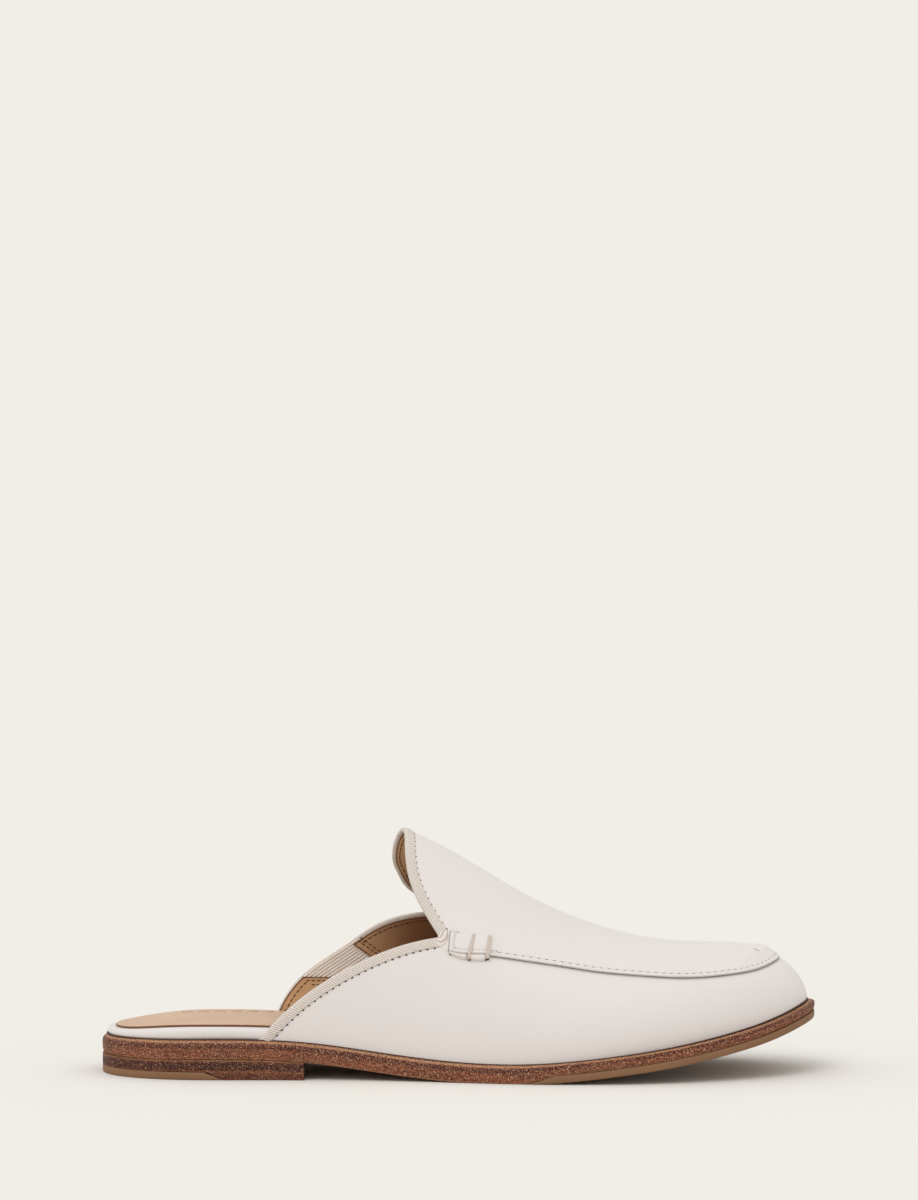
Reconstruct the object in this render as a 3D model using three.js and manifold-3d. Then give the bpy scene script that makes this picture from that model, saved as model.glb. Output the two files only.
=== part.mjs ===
// A backless loafer, or mule: the right shoe of a pair, empty and standing on its sole.
// Frame: +X to the toe, +Y to the inner (big-toe) side, +Z up, millimetres.
// The origin is on the floor, under the middle of the shoe.
import * as THREE from 'three';
import { mergeVertices } from 'three/addons/utils/BufferGeometryUtils.js';
import Module from 'manifold-3d';

const wasm = await Module();
wasm.setup();

// ---------- Driving dimensions ----------
const LENGTH = 262; // heel to toe of the outsole
const BALL_WIDTH = 90; // across the outsole at the ball
const HEEL_HEIGHT = 14; // floor to the top of the outsole at the back
const INSTEP_HEIGHT = 90.5; // floor to the ridge of the last where the tongue ends
const SOLE_THICKNESS = 6.9;
const RUBBER_THICKNESS = 2.8;
const WALL = 2; // leather, lining and paste together
const INSOLE_THICKNESS = 4.2;
const SOCK_THICKNESS = 0.8;
const GAP = 0.3; // between curved pieces that meet

const FEATHER_INSET = 2.9; // from the sole's edge in to where the upper comes down
const RIM_INSET = 1.9; // from the sole's edge in to the bare heel rim of the insole
const RIM_TO_SOCK = 2.6;
const RIDGE_END = 106; // where the ribs over the toe gather on the ridge
const HEEL_BREAST = -56; // front face of the heel
const HEEL_TIP_HEIGHT = 2.9;

// ---------- Tables ----------
// The edge of the sole, a row for each station. Along is in lengths, sides in ball widths.
const SOLE_EDGE = rows('along outer inner', [
  [0.0000, 0.0167, 0.0167],
  [0.0267, -0.1944, 0.2222],
  [0.1107, -0.3222, 0.3444],
  [0.2214, -0.3367, 0.3444],
  [0.3359, -0.3500, 0.3167],
  [0.4504, -0.3944, 0.3444],
  [0.5649, -0.4611, 0.4278],
  [0.6794, -0.4960, 0.4840],
  [0.7901, -0.4667, 0.4967],
  [0.8893, -0.3611, 0.4389],
  [0.9656, -0.1944, 0.3000],
  [1.0000, 0.0556, 0.0556],
]);

// The last, a row for each tenth of the length. Seat is the top of the sole, in heel heights, and
// ridge the last's crest, in instep heights. Shift is how far inward the crest lies. Square is the
// superellipse exponent of a rib, lean how much it narrows towards the crest, and belly how far
// the side swells over the feather edge.
const LAST = rows('seat ridge shift squareOuter squareInner lean bellyOuter bellyInner', [
  [1.000, 0.884, 1.5, 2.20, 2.20, 0.00, 1.0, 1.0],
  [1.014, 0.928, 1.5, 2.20, 2.20, 0.05, 1.0, 1.0],
  [1.021, 0.972, 2.0, 2.20, 2.20, 0.10, 1.0, 1.0],
  [0.921, 1.022, 3.0, 2.40, 2.40, 0.18, 1.0, 1.0],
  [0.679, 1.000, 4.0, 2.50, 2.50, 0.20, 1.2, 1.0],
  [0.493, 0.869, 5.0, 2.45, 2.50, 0.18, 1.5, 1.2],
  [0.486, 0.699, 6.0, 2.35, 2.45, 0.12, 1.8, 1.5],
  [0.660, 0.578, 6.0, 2.40, 2.50, 0.05, 2.0, 1.8],
  [0.929, 0.519, 5.5, 2.60, 2.60, 0.00, 1.8, 1.8],
  [1.314, 0.510, 5.0, 2.40, 2.40, 0.00, 1.0, 1.0],
  [1.800, 0.475, 4.5, 1.95, 1.95, 0.00, 0.4, 0.4],
]);

// The top line. Around runs over a rib from 0 at the outer feather edge through 1 at the crest to
// 2 at the inner one, and at is the place of the edge along the shoe.
const OUTER_WING = rows('around at', [
  [0.000, -72.5], [0.097, -61.7], [0.193, -46.3], [0.290, -26.0], [0.372, -7.6],
]);
const TONGUE = rows('around at', [
  [0.372, -7.6], [0.430, -12.8], [0.490, -16.8], [0.560, -19.1], [0.650, -20.0], [0.770, -20.2],
  [0.890, -20.4], [1.010, -20.9], [1.120, -21.8], [1.220, -22.9], [1.310, -24.2], [1.390, -25.1],
  [1.450, -24.8], [1.500, -22.6], [1.540, -18.9], [1.580, -8.0],
]);
const INNER_WING = rows('around at', [
  [1.580, -8.0], [1.664, -28.6], [1.748, -42.4], [1.832, -56.5], [1.916, -65.0], [2.000, -69.5],
]);

// The window in the inner wing that the elastic fills, seen from the side.
const GORE_WINDOW = rows('x z', [
  [-70, 32.5], [-22, 32.5], [-39, 45.0], [-44, 60], [-70, 60],
]);

// The keeper that hides the seam's end on each side, a row from its back end to its front.
const KEEPER = rows('at low high', [
  [-3.6, 0.340, 0.410], [1.5, 0.345, 0.426], [6.5, 0.350, 0.440], [11.6, 0.362, 0.452],
]);

function rows(columns, values) {
  const names = columns.split(' ');
  return values.map((line) => Object.fromEntries(line.map((value, i) => [names[i], value])));
}

// ---------- Smooth curves through tables ----------
// Slopes that make a cubic through evenly spaced values smooth to its second derivative.
function slopes(values, closed) {
  const n = values.length;
  const at = (i) => values[(i + n) % n];
  let slope = values.map(() => 0);
  for (let pass = 0; pass < 60; pass++) {
    slope = slope.map((_, i) => {
      if (!closed && i === 0) return (3 * (values[1] - values[0]) - slope[1]) / 2;
      if (!closed && i === n - 1) return (3 * (values[n - 1] - values[n - 2]) - slope[n - 2]) / 2;
      return (3 * (at(i + 1) - at(i - 1)) - slope[(i - 1 + n) % n] - slope[(i + 1) % n]) / 4;
    });
  }
  return slope;
}

// The value at place t, counted in rows of the table.
function smooth(values, closed = false) {
  const n = values.length;
  const slope = slopes(values, closed);
  return (t) => {
    const i = closed ? Math.floor(t) : Math.min(Math.max(Math.floor(t), 0), n - 2);
    const f = closed ? t - i : Math.min(Math.max(t - i, 0), 1);
    const a = ((i % n) + n) % n;
    const b = (a + 1) % n;
    return (2 * f ** 3 - 3 * f ** 2 + 1) * values[a] + (f ** 3 - 2 * f ** 2 + f) * slope[a]
      + (3 * f ** 2 - 2 * f ** 3) * values[b] + (f ** 3 - f ** 2) * slope[b];
  };
}

// ---------- The sole's edge ----------
// Place 0 is the back of the heel and TOE the tip of the toe; the outer side lies between them,
// and the inner side comes back from TOE to LOOP.
const TOE = SOLE_EDGE.length - 1;
const LOOP = 2 * TOE;
const back = SOLE_EDGE.slice(1, TOE).reverse();
const edgeX = smooth([...SOLE_EDGE, ...back].map((row) => (row.along - 0.5) * LENGTH), true);
const edgeY = smooth(
  [...SOLE_EDGE.map((row) => row.outer), ...back.map((row) => row.inner)].map((y) => y * BALL_WIDTH),
  true,
);

// A point on the edge, moved inward by the inset.
function edgePoint(place, inset) {
  const step = 1e-3;
  const dx = edgeX(place + step) - edgeX(place - step);
  const dy = edgeY(place + step) - edgeY(place - step);
  const length = Math.hypot(dx, dy);
  const out = new THREE.Vector2(dy / length, -dx / length);
  return { point: new THREE.Vector2(edgeX(place), edgeY(place)).addScaledVector(out, -inset), out };
}

// The place on the outer side whose edge point lies at x.
function placeAt(x) {
  let low = 0;
  let high = TOE;
  for (let i = 0; i < 40; i++) {
    const middle = (low + high) / 2;
    if (edgeX(middle) < x) low = middle;
    else high = middle;
  }
  return (low + high) / 2;
}

// ---------- The last ----------
const lastCurves = Object.fromEntries(
  Object.keys(LAST[0]).map((name) => [name, smooth(LAST.map((row) => row[name]))]),
);
const lastAt = (name, x) => lastCurves[name]((x / LENGTH + 0.5) * (LAST.length - 1));
const seat = (x) => HEEL_HEIGHT * lastAt('seat', x);
const ridge = (x) => INSTEP_HEIGHT * lastAt('ridge', x);
const TOE_X = LENGTH / 2 - FEATHER_INSET;

// A rib of the last starts square to the shoe's length, and over the toe the ribs gather.
function ridgeX(x) {
  const start = 2 * RIDGE_END - TOE_X;
  const u = Math.min(Math.max((x - start) / (TOE_X - start), 0), 1);
  return x < start ? x : start + (RIDGE_END - start) * (2 * u - u * u);
}

// A point of the last's skin. Each rib is a quarter superellipse from the feather edge to the
// crest, in polar form, narrowed by lean and swollen by belly.
function skin(place, around) {
  const inner = around > 1;
  const at = inner ? LOOP - place : place;
  const rise = (inner ? 2 - around : around) * (Math.PI / 2);
  const { point, out } = edgePoint(at, FEATHER_INSET);
  const x = point.x;
  const crest = new THREE.Vector2(ridgeX(x), lastAt('shift', ridgeX(x)));
  const turn = Math.min(Math.max((at - TOE) / 1.6 + 0.5, 0), 1);
  const side = turn * turn * (3 - 2 * turn);
  const square = lastAt('squareOuter', x) * (1 - side) + lastAt('squareInner', x) * side;
  const belly = lastAt('bellyOuter', x) * (1 - side) + lastAt('bellyInner', x) * side;
  const cos = Math.max(Math.cos(rise), 0);
  const sin = Math.sin(rise);
  const reach = (cos ** square + sin ** square) ** (-1 / square);
  const up = reach * sin;
  const outward = reach * cos * (1 - lastAt('lean', x) * up);
  const swell = (27 / 4) * up * (1 - up) ** 2;
  const plan = point.clone().lerp(crest, 1 - outward).addScaledVector(out, belly * swell);
  return new THREE.Vector3(plan.x, plan.y, seat(x) + (ridge(plan.x) - seat(x)) * up);
}

// The skin moved along its own normal. The feather edge stays on the seat.
function leather(place, around, offset) {
  const step = 1e-3;
  const p = skin(place, around);
  const along = skin(place + step, around).sub(skin(place - step, around));
  const over = skin(place, Math.min(around + step, 2)).sub(skin(place, Math.max(around - step, 0)));
  p.addScaledVector(along.cross(over).normalize(), offset);
  if (around < 1e-6 || around > 2 - 1e-6) p.z = seat(p.x) + GAP;
  return p;
}

// ---------- Closed meshes ----------
// Quads of points become one closed geometry: shared points merge, and flat slivers drop out.
function closed(quads) {
  const geometry = new THREE.BufferGeometry();
  const corners = quads.flatMap(([a, b, c, d]) => [a, b, c, a, c, d]);
  geometry.setAttribute('position', new THREE.Float32BufferAttribute(
    corners.flatMap((p) => [p.x, p.y, p.z]), 3));
  const merged = mergeVertices(geometry, 1e-4);
  const index = [];
  for (let i = 0; i < merged.index.count; i += 3) {
    const [a, b, c] = [0, 1, 2].map((k) => merged.index.getX(i + k));
    if (a !== b && b !== c && c !== a) index.push(a, b, c);
  }
  merged.setIndex(index);
  return merged;
}

// Quads between neighbouring rows of points.
function weave(grid, flip = false) {
  const quads = [];
  for (let i = 0; i + 1 < grid.length; i++) {
    for (let j = 0; j + 1 < grid[i].length; j++) {
      const quad = [grid[i][j], grid[i + 1][j], grid[i + 1][j + 1], grid[i][j + 1]];
      quads.push(flip ? quad.reverse() : quad);
    }
  }
  return quads;
}

// A slab with the sole's outline: a rung for each place, from low to high.
function slab({ from = 0, to = TOE, rungs = 44, inset, low, high }) {
  const loops = [];
  for (let i = 0; i <= rungs; i++) {
    const place = from + ((to - from) * i) / rungs;
    const outer = edgePoint(place, inset(edgeX(place))).point;
    const inner = edgePoint(LOOP - place, inset(edgeX(place))).point;
    loops.push([
      new THREE.Vector3(outer.x, outer.y, low(outer.x)),
      new THREE.Vector3(outer.x, outer.y, high(outer.x)),
      new THREE.Vector3(inner.x, inner.y, high(inner.x)),
      new THREE.Vector3(inner.x, inner.y, low(inner.x)),
      new THREE.Vector3(outer.x, outer.y, low(outer.x)),
    ]);
  }
  const start = loops[0].slice(0, 4);
  const end = loops[rungs].slice(0, 4).reverse();
  return closed([...weave(loops), start, end]);
}

// A panel of the last between two offsets: place(u, v) gives the place and the way around.
function panel({ along, around, place, outer, inner, foldedAtToe = false }) {
  const layer = (offset) => Array.from({ length: along + 1 }, (_, i) =>
    Array.from({ length: around + 1 }, (_, j) => leather(...place(i / along, j / around), offset)));
  const out = layer(outer);
  const inn = layer(inner);
  const column = (grid, j) => grid.map((line) => line[j]);
  const quads = [
    ...weave(out), ...weave(inn, true),
    ...weave([column(out, 0), column(inn, 0)]),
    ...weave([column(out, around), column(inn, around)], true),
    ...weave([out[0], inn[0]], true),
  ];
  if (!foldedAtToe) quads.push(...weave([out[along], inn[along]]));
  return closed(quads);
}

// ---------- Booleans ----------
function solid(geometry) {
  const bare = geometry.clone();
  bare.deleteAttribute('normal');
  bare.deleteAttribute('uv');
  const merged = mergeVertices(bare, 1e-4);
  return new wasm.Manifold(new wasm.Mesh({
    numProp: 3,
    vertProperties: new Float32Array(merged.attributes.position.array),
    triVerts: new Uint32Array(merged.index.array),
  }));
}

function geometryOf(body) {
  const mesh = body.getMesh();
  const geometry = new THREE.BufferGeometry();
  geometry.setAttribute('position', new THREE.BufferAttribute(new Float32Array(mesh.vertProperties), 3));
  geometry.setIndex(new THREE.BufferAttribute(new Uint32Array(mesh.triVerts), 1));
  return geometry;
}

// A prism whose outline is drawn from the side, from y = near to y = far.
function sidePrism(outline, near, far) {
  const shape = new THREE.Shape(outline.map(({ x, z }) => new THREE.Vector2(x, z)));
  const prism = new THREE.ExtrudeGeometry(shape, { depth: far - near, bevelEnabled: false });
  return prism.rotateX(Math.PI / 2).translate(0, far, 0);
}

// The same outline, each side moved inward by the margin.
function shrink(outline, margin) {
  return outline.map((corner, i) => {
    const before = outline[(i + outline.length - 1) % outline.length];
    const after = outline[(i + 1) % outline.length];
    const normal = (a, b) => new THREE.Vector2(a.z - b.z, b.x - a.x).normalize();
    const n1 = normal(before, corner);
    const n2 = normal(corner, after);
    const bisector = n1.clone().add(n2).multiplyScalar(margin / (1 + n1.dot(n2)));
    return { x: corner.x + bisector.x, z: corner.z + bisector.y };
  });
}

// ---------- Materials ----------
const finish = (color, roughness) => new THREE.MeshStandardMaterial({ color, roughness, metalness: 0 });
const whiteLeather = finish(0xe8e1da, 0.5);
const tanLeather = finish(0xd3b59c, 0.6);
const soleLeather = finish(0x8a5a3f, 0.75);
const rubber = finish(0x785f4b, 0.8);
const elastic = finish(0xc4b2a6, 0.85);

// ---------- Pieces ----------
const flush = () => 0;
const soleBottom = (x) => Math.max(seat(x) - SOLE_THICKNESS, 0);
// The cutting prisms reach past the shoe on every side.
const WIDE = 60;
const BEYOND = 140;
const UNDER = -5;
const OVER = 40;

// The leather outsole, with a recess under the forefoot for the rubber.
const RUBBER_START = { low: 24, high: 34 };
const RUBBER_ROOF_START = 90;
const rubberZone = (gap) => sidePrism([
  { x: RUBBER_START.low - 2 * gap, z: UNDER },
  { x: BEYOND, z: UNDER },
  { x: BEYOND, z: OVER },
  { x: RUBBER_ROOF_START, z: OVER },
  { x: RUBBER_START.high + 2 * (RUBBER_START.high - RUBBER_START.low) - 2 * gap, z: 3 * RUBBER_THICKNESS },
], -WIDE, WIDE);

function outsole() {
  const body = solid(slab({ inset: flush, low: soleBottom, high: seat }));
  const recess = solid(slab({
    rungs: 60, inset: () => -1, low: (x) => soleBottom(x) - 2, high: (x) => soleBottom(x) + RUBBER_THICKNESS + GAP,
  }));
  return geometryOf(body.subtract(recess.intersect(solid(rubberZone(GAP)))));
}

function forefootRubber() {
  const layer = solid(slab({ inset: flush, low: soleBottom, high: (x) => soleBottom(x) + RUBBER_THICKNESS }));
  return geometryOf(layer.intersect(solid(rubberZone(0))));
}

// The heel: a stack of leather whose back half stands on a rubber tip.
const HEEL_TIP_FRONT = { low: -85, high: -92 };
const heelTipZone = (gap) => sidePrism([
  { x: -BEYOND, z: UNDER },
  { x: HEEL_TIP_FRONT.low + 2 * gap, z: UNDER },
  { x: HEEL_TIP_FRONT.low + 2 * gap, z: 0 },
  { x: HEEL_TIP_FRONT.high + 2 * gap, z: HEEL_TIP_HEIGHT },
  { x: -BEYOND, z: HEEL_TIP_HEIGHT },
], -WIDE, WIDE);

function heelBlock() {
  const stack = solid(slab({
    to: placeAt(HEEL_BREAST), rungs: 20, inset: flush, low: flush, high: (x) => soleBottom(x) - GAP,
  }));
  return geometryOf(stack.subtract(solid(heelTipZone(GAP))));
}

function heelTip() {
  const layer = solid(slab({
    to: placeAt(HEEL_BREAST), rungs: 20, inset: flush, low: flush, high: () => HEEL_TIP_HEIGHT - GAP,
  }));
  return geometryOf(layer.intersect(solid(heelTipZone(0))));
}

// The insole board fills the upper, and widens behind it to a rim wrapped in leather.
// It drifts in to the line of the upper along the heel, then steps in where the wings begin.
const INSIDE_INSET = FEATHER_INSET + WALL + 0.5;
const RIM_DRIFT = { from: -115, to: -80, depth: 0.8 };
const SOCK_MARGIN = 0.4;
const RIM_STEP = { from: -78.5, to: -75, depth: INSIDE_INSET - RIM_INSET - RIM_DRIFT.depth };
function ramp(x, { from, to, depth }) {
  const u = Math.min(Math.max((x - from) / (to - from), 0), 1);
  return depth * u * u * (3 - 2 * u);
}
const insoleInset = (x) => RIM_INSET + ramp(x, RIM_DRIFT) + ramp(x, RIM_STEP);

function insole() {
  return slab({
    rungs: 72, inset: insoleInset, low: (x) => seat(x) + GAP, high: (x) => seat(x) + GAP + INSOLE_THICKNESS,
  });
}

function sock() {
  const floor = (x) => seat(x) + 2 * GAP + INSOLE_THICKNESS;
  const inset = (x) => Math.max(insoleInset(x), RIM_INSET + RIM_TO_SOCK) + SOCK_MARGIN;
  return slab({ inset, low: floor, high: (x) => floor(x) + SOCK_THICKNESS });
}

const WINDOW_NEAR = 8; // the window is cut through the inner side only, from this y on

// The upper: one wall from the top line forward, folded over the toe, open at the back and below.
const wings = [
  { curve: OUTER_WING, steps: 8 },
  { curve: TONGUE, steps: 18 },
  { curve: INNER_WING, steps: 9 },
];
const topLine = wings.flatMap(({ curve, steps }, part) => {
  const around = smooth(curve.map((row) => row.around));
  const at = smooth(curve.map((row) => row.at));
  const count = part === wings.length - 1 ? steps + 1 : steps;
  return Array.from({ length: count }, (_, i) => {
    const t = (i / steps) * (curve.length - 1);
    return { around: around(t), place: placeAt(at(t)) };
  });
});

function upper() {
  const last = topLine.length - 1;
  const place = (u, v) => {
    const j = Math.round(v * last);
    const start = topLine[j];
    const even = (start.around + 2 - topLine[last - j].around) / 2;
    return [start.place + (TOE - start.place) * u, start.around + (even - start.around) * u];
  };
  const wall = panel({ along: 40, around: last, place, outer: 0, inner: -WALL, foldedAtToe: true });
  return geometryOf(solid(wall).subtract(solid(sidePrism(GORE_WINDOW, WINDOW_NEAR, WIDE))));
}

// The elastic lies between the leather and its lining, and fills the window.
const GORE_LAYER = { outer: -0.4, inner: -1.6, front: -12 };
function gore() {
  const steps = topLine.slice(-1 - wings.at(-1).steps);
  const place = (u, v) => {
    const start = steps[Math.round(v * (steps.length - 1))];
    const front = placeAt(GORE_LAYER.front);
    return [start.place + (front - start.place) * u, start.around];
  };
  const band = panel({ along: 18, around: steps.length - 1, place, ...GORE_LAYER });
  return geometryOf(solid(band).intersect(solid(sidePrism(shrink(GORE_WINDOW, GAP), WINDOW_NEAR, WIDE))));
}

// The keeper stands on the skin, GAP above it.
const KEEPER_TOP = 1.7;
function keeper(inner) {
  const at = smooth(KEEPER.map((row) => placeAt(row.at)));
  const low = smooth(KEEPER.map((row) => row.low));
  const high = smooth(KEEPER.map((row) => row.high));
  const place = (u, v) => {
    const t = u * (KEEPER.length - 1);
    const around = low(t) + (high(t) - low(t)) * v;
    return [at(t), inner ? 2 - around : around];
  };
  const flipped = inner ? (u, v) => place(u, 1 - v) : place;
  return panel({ along: 10, around: 5, place: flipped, outer: KEEPER_TOP, inner: GAP });
}

// ---------- Assembly ----------
const shoe = new THREE.Group();
shoe.name = 'mule';

function add(name, geometry, material) {
  geometry.computeVertexNormals();
  const mesh = new THREE.Mesh(geometry, material);
  mesh.name = name;
  shoe.add(mesh);
}

add('outsole', outsole(), soleLeather);
add('forefoot_rubber', forefootRubber(), rubber);
add('heel_block', heelBlock(), soleLeather);
add('heel_tip', heelTip(), rubber);
add('insole', insole(), whiteLeather);
add('sock', sock(), tanLeather);
add('upper', upper(), whiteLeather);
add('gore', gore(), elastic);
add('keeper_outer', keeper(false), whiteLeather);
add('keeper_inner', keeper(true), whiteLeather);

export default shoe;
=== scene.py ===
"""A backless leather loafer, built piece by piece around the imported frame."""

import math

import bpy
import numpy as np
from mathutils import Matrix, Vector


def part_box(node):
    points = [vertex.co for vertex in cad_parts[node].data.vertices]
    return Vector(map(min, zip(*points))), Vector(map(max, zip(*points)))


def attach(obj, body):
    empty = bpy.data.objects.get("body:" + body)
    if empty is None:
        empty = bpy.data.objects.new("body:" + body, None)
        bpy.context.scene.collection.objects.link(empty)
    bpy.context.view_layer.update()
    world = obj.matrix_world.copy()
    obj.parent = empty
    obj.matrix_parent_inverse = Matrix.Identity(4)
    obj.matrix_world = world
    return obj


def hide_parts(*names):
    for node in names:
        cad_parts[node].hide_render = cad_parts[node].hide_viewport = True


bl_info = {
    "name": "Mule Shoe",
    "version": (1, 0, 0),
    "blender": (4, 5, 0),
    "location": "3D View > Sidebar > Mule Shoe",
    "description": "Builds a white leather mule with a stacked leather sole",
    "category": "Add Mesh",
}

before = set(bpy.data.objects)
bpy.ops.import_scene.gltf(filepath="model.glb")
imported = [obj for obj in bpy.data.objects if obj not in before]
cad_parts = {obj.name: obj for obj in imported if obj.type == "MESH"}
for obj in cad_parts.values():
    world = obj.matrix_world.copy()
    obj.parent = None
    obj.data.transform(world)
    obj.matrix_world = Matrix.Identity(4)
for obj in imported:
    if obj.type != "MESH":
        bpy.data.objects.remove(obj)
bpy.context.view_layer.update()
SOLE_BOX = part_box("outsole")
BODY = "root"
MM = 0.001

# ---------- The maker's sizes, in millimetres ----------
LENGTH = (SOLE_BOX[1].x - SOLE_BOX[0].x) / MM
BALL_WIDTH = 90.0
HEEL_HEIGHT = 14.0
INSTEP_HEIGHT = 90.5
SOLE_THICKNESS = 6.9
RUBBER_THICKNESS = 2.8
FEATHER_INSET = 2.9
RIDGE_END = 106.0
HEEL_BREAST = -56.0
RUBBER_START = (24.0, 34.0)
RIBBON_PITCH = 0.92
ELASTIC_PITCH = 1.1
TIP_FRONT = (-85.0, -92.0)
TIP_HEIGHT = 2.9

# The sole's outline: how far along, and the half widths of the outer and inner side.
SOLE_EDGE = np.array([
    [0.0000, 0.0167, 0.0167], [0.0267, -0.1944, 0.2222], [0.1107, -0.3222, 0.3444],
    [0.2214, -0.3367, 0.3444], [0.3359, -0.3500, 0.3167], [0.4504, -0.3944, 0.3444],
    [0.5649, -0.4611, 0.4278], [0.6794, -0.4960, 0.4840], [0.7901, -0.4667, 0.4967],
    [0.8893, -0.3611, 0.4389], [0.9656, -0.1944, 0.3000], [1.0000, 0.0556, 0.0556],
])

# The last at eleven stations from heel to toe: seat and ridge heights, sideways shift of the
# ridge, squareness of the outer and inner half, lean, and belly of the outer and inner half.
LAST = np.array([
    [1.000, 0.884, 1.5, 2.20, 2.20, 0.00, 1.0, 1.0],
    [1.014, 0.928, 1.5, 2.20, 2.20, 0.05, 1.0, 1.0],
    [1.021, 0.972, 2.0, 2.20, 2.20, 0.10, 1.0, 1.0],
    [0.921, 1.022, 3.0, 2.40, 2.40, 0.18, 1.0, 1.0],
    [0.679, 1.000, 4.0, 2.50, 2.50, 0.20, 1.2, 1.0],
    [0.493, 0.869, 5.0, 2.45, 2.50, 0.18, 1.5, 1.2],
    [0.486, 0.699, 6.0, 2.35, 2.45, 0.12, 1.8, 1.5],
    [0.660, 0.578, 6.0, 2.40, 2.50, 0.05, 2.0, 1.8],
    [0.929, 0.519, 5.5, 2.60, 2.60, 0.00, 1.8, 1.8],
    [1.314, 0.510, 5.0, 2.40, 2.40, 0.00, 1.0, 1.0],
    [1.800, 0.475, 4.5, 1.95, 1.95, 0.00, 0.4, 0.4],
])

# The top line in three curves: the way around the rib, and the place along the shoe.
OUTER_WING = np.array([
    [0.000, -72.5], [0.097, -61.7], [0.193, -46.3], [0.290, -26.0], [0.372, -7.6],
])
TONGUE = np.array([
    [0.372, -7.6], [0.430, -12.8], [0.490, -16.8], [0.560, -19.1], [0.650, -20.0],
    [0.770, -20.2], [0.890, -20.4], [1.010, -20.9], [1.120, -21.8], [1.220, -22.9],
    [1.310, -24.2], [1.390, -25.1], [1.450, -24.8], [1.500, -22.6], [1.540, -18.9],
    [1.580, -8.0],
])
INNER_WING = np.array([
    [1.580, -8.0], [1.664, -28.6], [1.748, -42.4], [1.832, -56.5], [1.916, -65.0],
    [2.000, -69.5],
])

# The apron's seam, from under the binding to the middle of the toe: place and way around.
APRON_SEAM = np.array([
    [4.80, 0.362], [5.00, 0.349], [5.20, 0.339], [5.40, 0.340], [5.60, 0.357], [5.80, 0.377],
    [6.16, 0.406], [6.63, 0.438], [7.12, 0.454], [7.70, 0.464], [8.31, 0.456], [8.80, 0.459],
    [9.26, 0.478], [9.68, 0.524], [10.08, 0.579], [10.55, 0.624], [11.00, 0.640],
])

# The inner wing's window for the elastic, seen from the side: its front edge and its sill.
WINDOW_FRONT = ((-39.0, 45.0), (-22.0, 32.5))
WINDOW_SILL = ((-22.0, 32.5), (-58.3, 32.5))

# ---------- Smooth curves ----------


class Smooth:
    """A curve through evenly spaced rows, smooth to its second derivative: between two rows it
    is the cubic that has the rows' values and slopes, and the slopes make the bends meet."""

    def __init__(self, rows, closed=False):
        self.rows, self.closed = np.asarray(rows, float), closed
        count = len(self.rows)
        system = 4 * np.eye(count) + np.eye(count, k=1) + np.eye(count, k=-1)
        right = 3 * (np.roll(self.rows, -1, 0) - np.roll(self.rows, 1, 0))
        if closed:
            system[0, -1] = system[-1, 0] = 1
        else:
            system[0, 0] = system[-1, -1] = 2
            right[0] = 3 * (self.rows[1] - self.rows[0])
            right[-1] = 3 * (self.rows[-1] - self.rows[-2])
        self.slopes = np.linalg.solve(system, right)

    def __call__(self, t):
        t, count = np.asarray(t, float), len(self.rows)
        i = np.floor(t).astype(int)
        i = i if self.closed else np.clip(i, 0, count - 2)
        f = (t - i if self.closed else np.clip(t - i, 0, 1))[..., None]
        a, b = i % count, (i + 1) % count
        return (
            (2 * f**3 - 3 * f**2 + 1) * self.rows[a]
            + (f**3 - 2 * f**2 + f) * self.slopes[a]
            + (3 * f**2 - 2 * f**3) * self.rows[b]
            + (f**3 - f**2) * self.slopes[b]
        )


def unit(vectors):
    """Each vector over its own length."""
    return vectors / np.maximum(np.linalg.norm(vectors, axis=-1, keepdims=True), 1e-12)


def step_up(x, low, high):
    """0 below low, 1 above high, and a smooth S between."""
    u = np.clip((np.asarray(x, float) - low) / (high - low), 0, 1)
    return u * u * (3 - 2 * u)


def hump(x, middle, width):
    """1 at the middle, falling off as a bell of that width."""
    return np.exp(-(((np.asarray(x, float) - middle) / width) ** 2))


def domed(gap, radius):
    """A quarter circle's rise over the first millimetres from an edge, then level."""
    return np.sqrt(np.clip(1 - (1 - np.clip(gap / radius, 0, 1)) ** 2, 0, 1))


def ring(count):
    """The cosines and sines of evenly spaced turns round a circle."""
    turn = np.arange(count) / count * 2 * math.pi
    return np.cos(turn), np.sin(turn)


# ---------- The sole's outline and the last ----------
TOE = len(SOLE_EDGE) - 1
LOOP = 2 * TOE
OUTLINE = Smooth(
    np.concatenate([
        np.c_[(SOLE_EDGE[:, 0] - 0.5) * LENGTH, SOLE_EDGE[:, 1] * BALL_WIDTH],
        np.c_[(SOLE_EDGE[-2:0:-1, 0] - 0.5) * LENGTH, SOLE_EDGE[-2:0:-1, 2] * BALL_WIDTH],
    ]),
    closed=True,
)
LAST_CURVE = Smooth(LAST)
SEAT, RIDGE, SHIFT, SQUARE, LEAN, BELLY = 0, 1, 2, 3, 5, 6
TOE_X = LENGTH / 2 - FEATHER_INSET
STEP = 1e-3
TOE_LIFT, TOE_RISE = 1.2, (100, 131)
TOE_TURN = 1.6
ROUNDS, WALK_ROUNDS = 12, 4
WING_AROUND = 1.82
LOOK = 0.15


def edge_point(place, inset=0.0):
    """The outline at a place, moved inward by the inset, and the outward direction there."""
    way = unit(OUTLINE(place + STEP) - OUTLINE(place - STEP))
    out = np.stack([way[..., 1], -way[..., 0]], -1)
    return OUTLINE(place) - out * np.asarray(inset, float)[..., None], out


def last_at(x):
    """The last's row at x, from its evenly spaced stations."""
    return LAST_CURVE((np.asarray(x) / LENGTH + 0.5) * (len(LAST) - 1))


def seat(x):
    """Height of the sole's top: the last's seat, lifted at the very toe by a squared S."""
    return HEEL_HEIGHT * last_at(x)[..., SEAT] + TOE_LIFT * step_up(x, *TOE_RISE) ** 2


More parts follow.
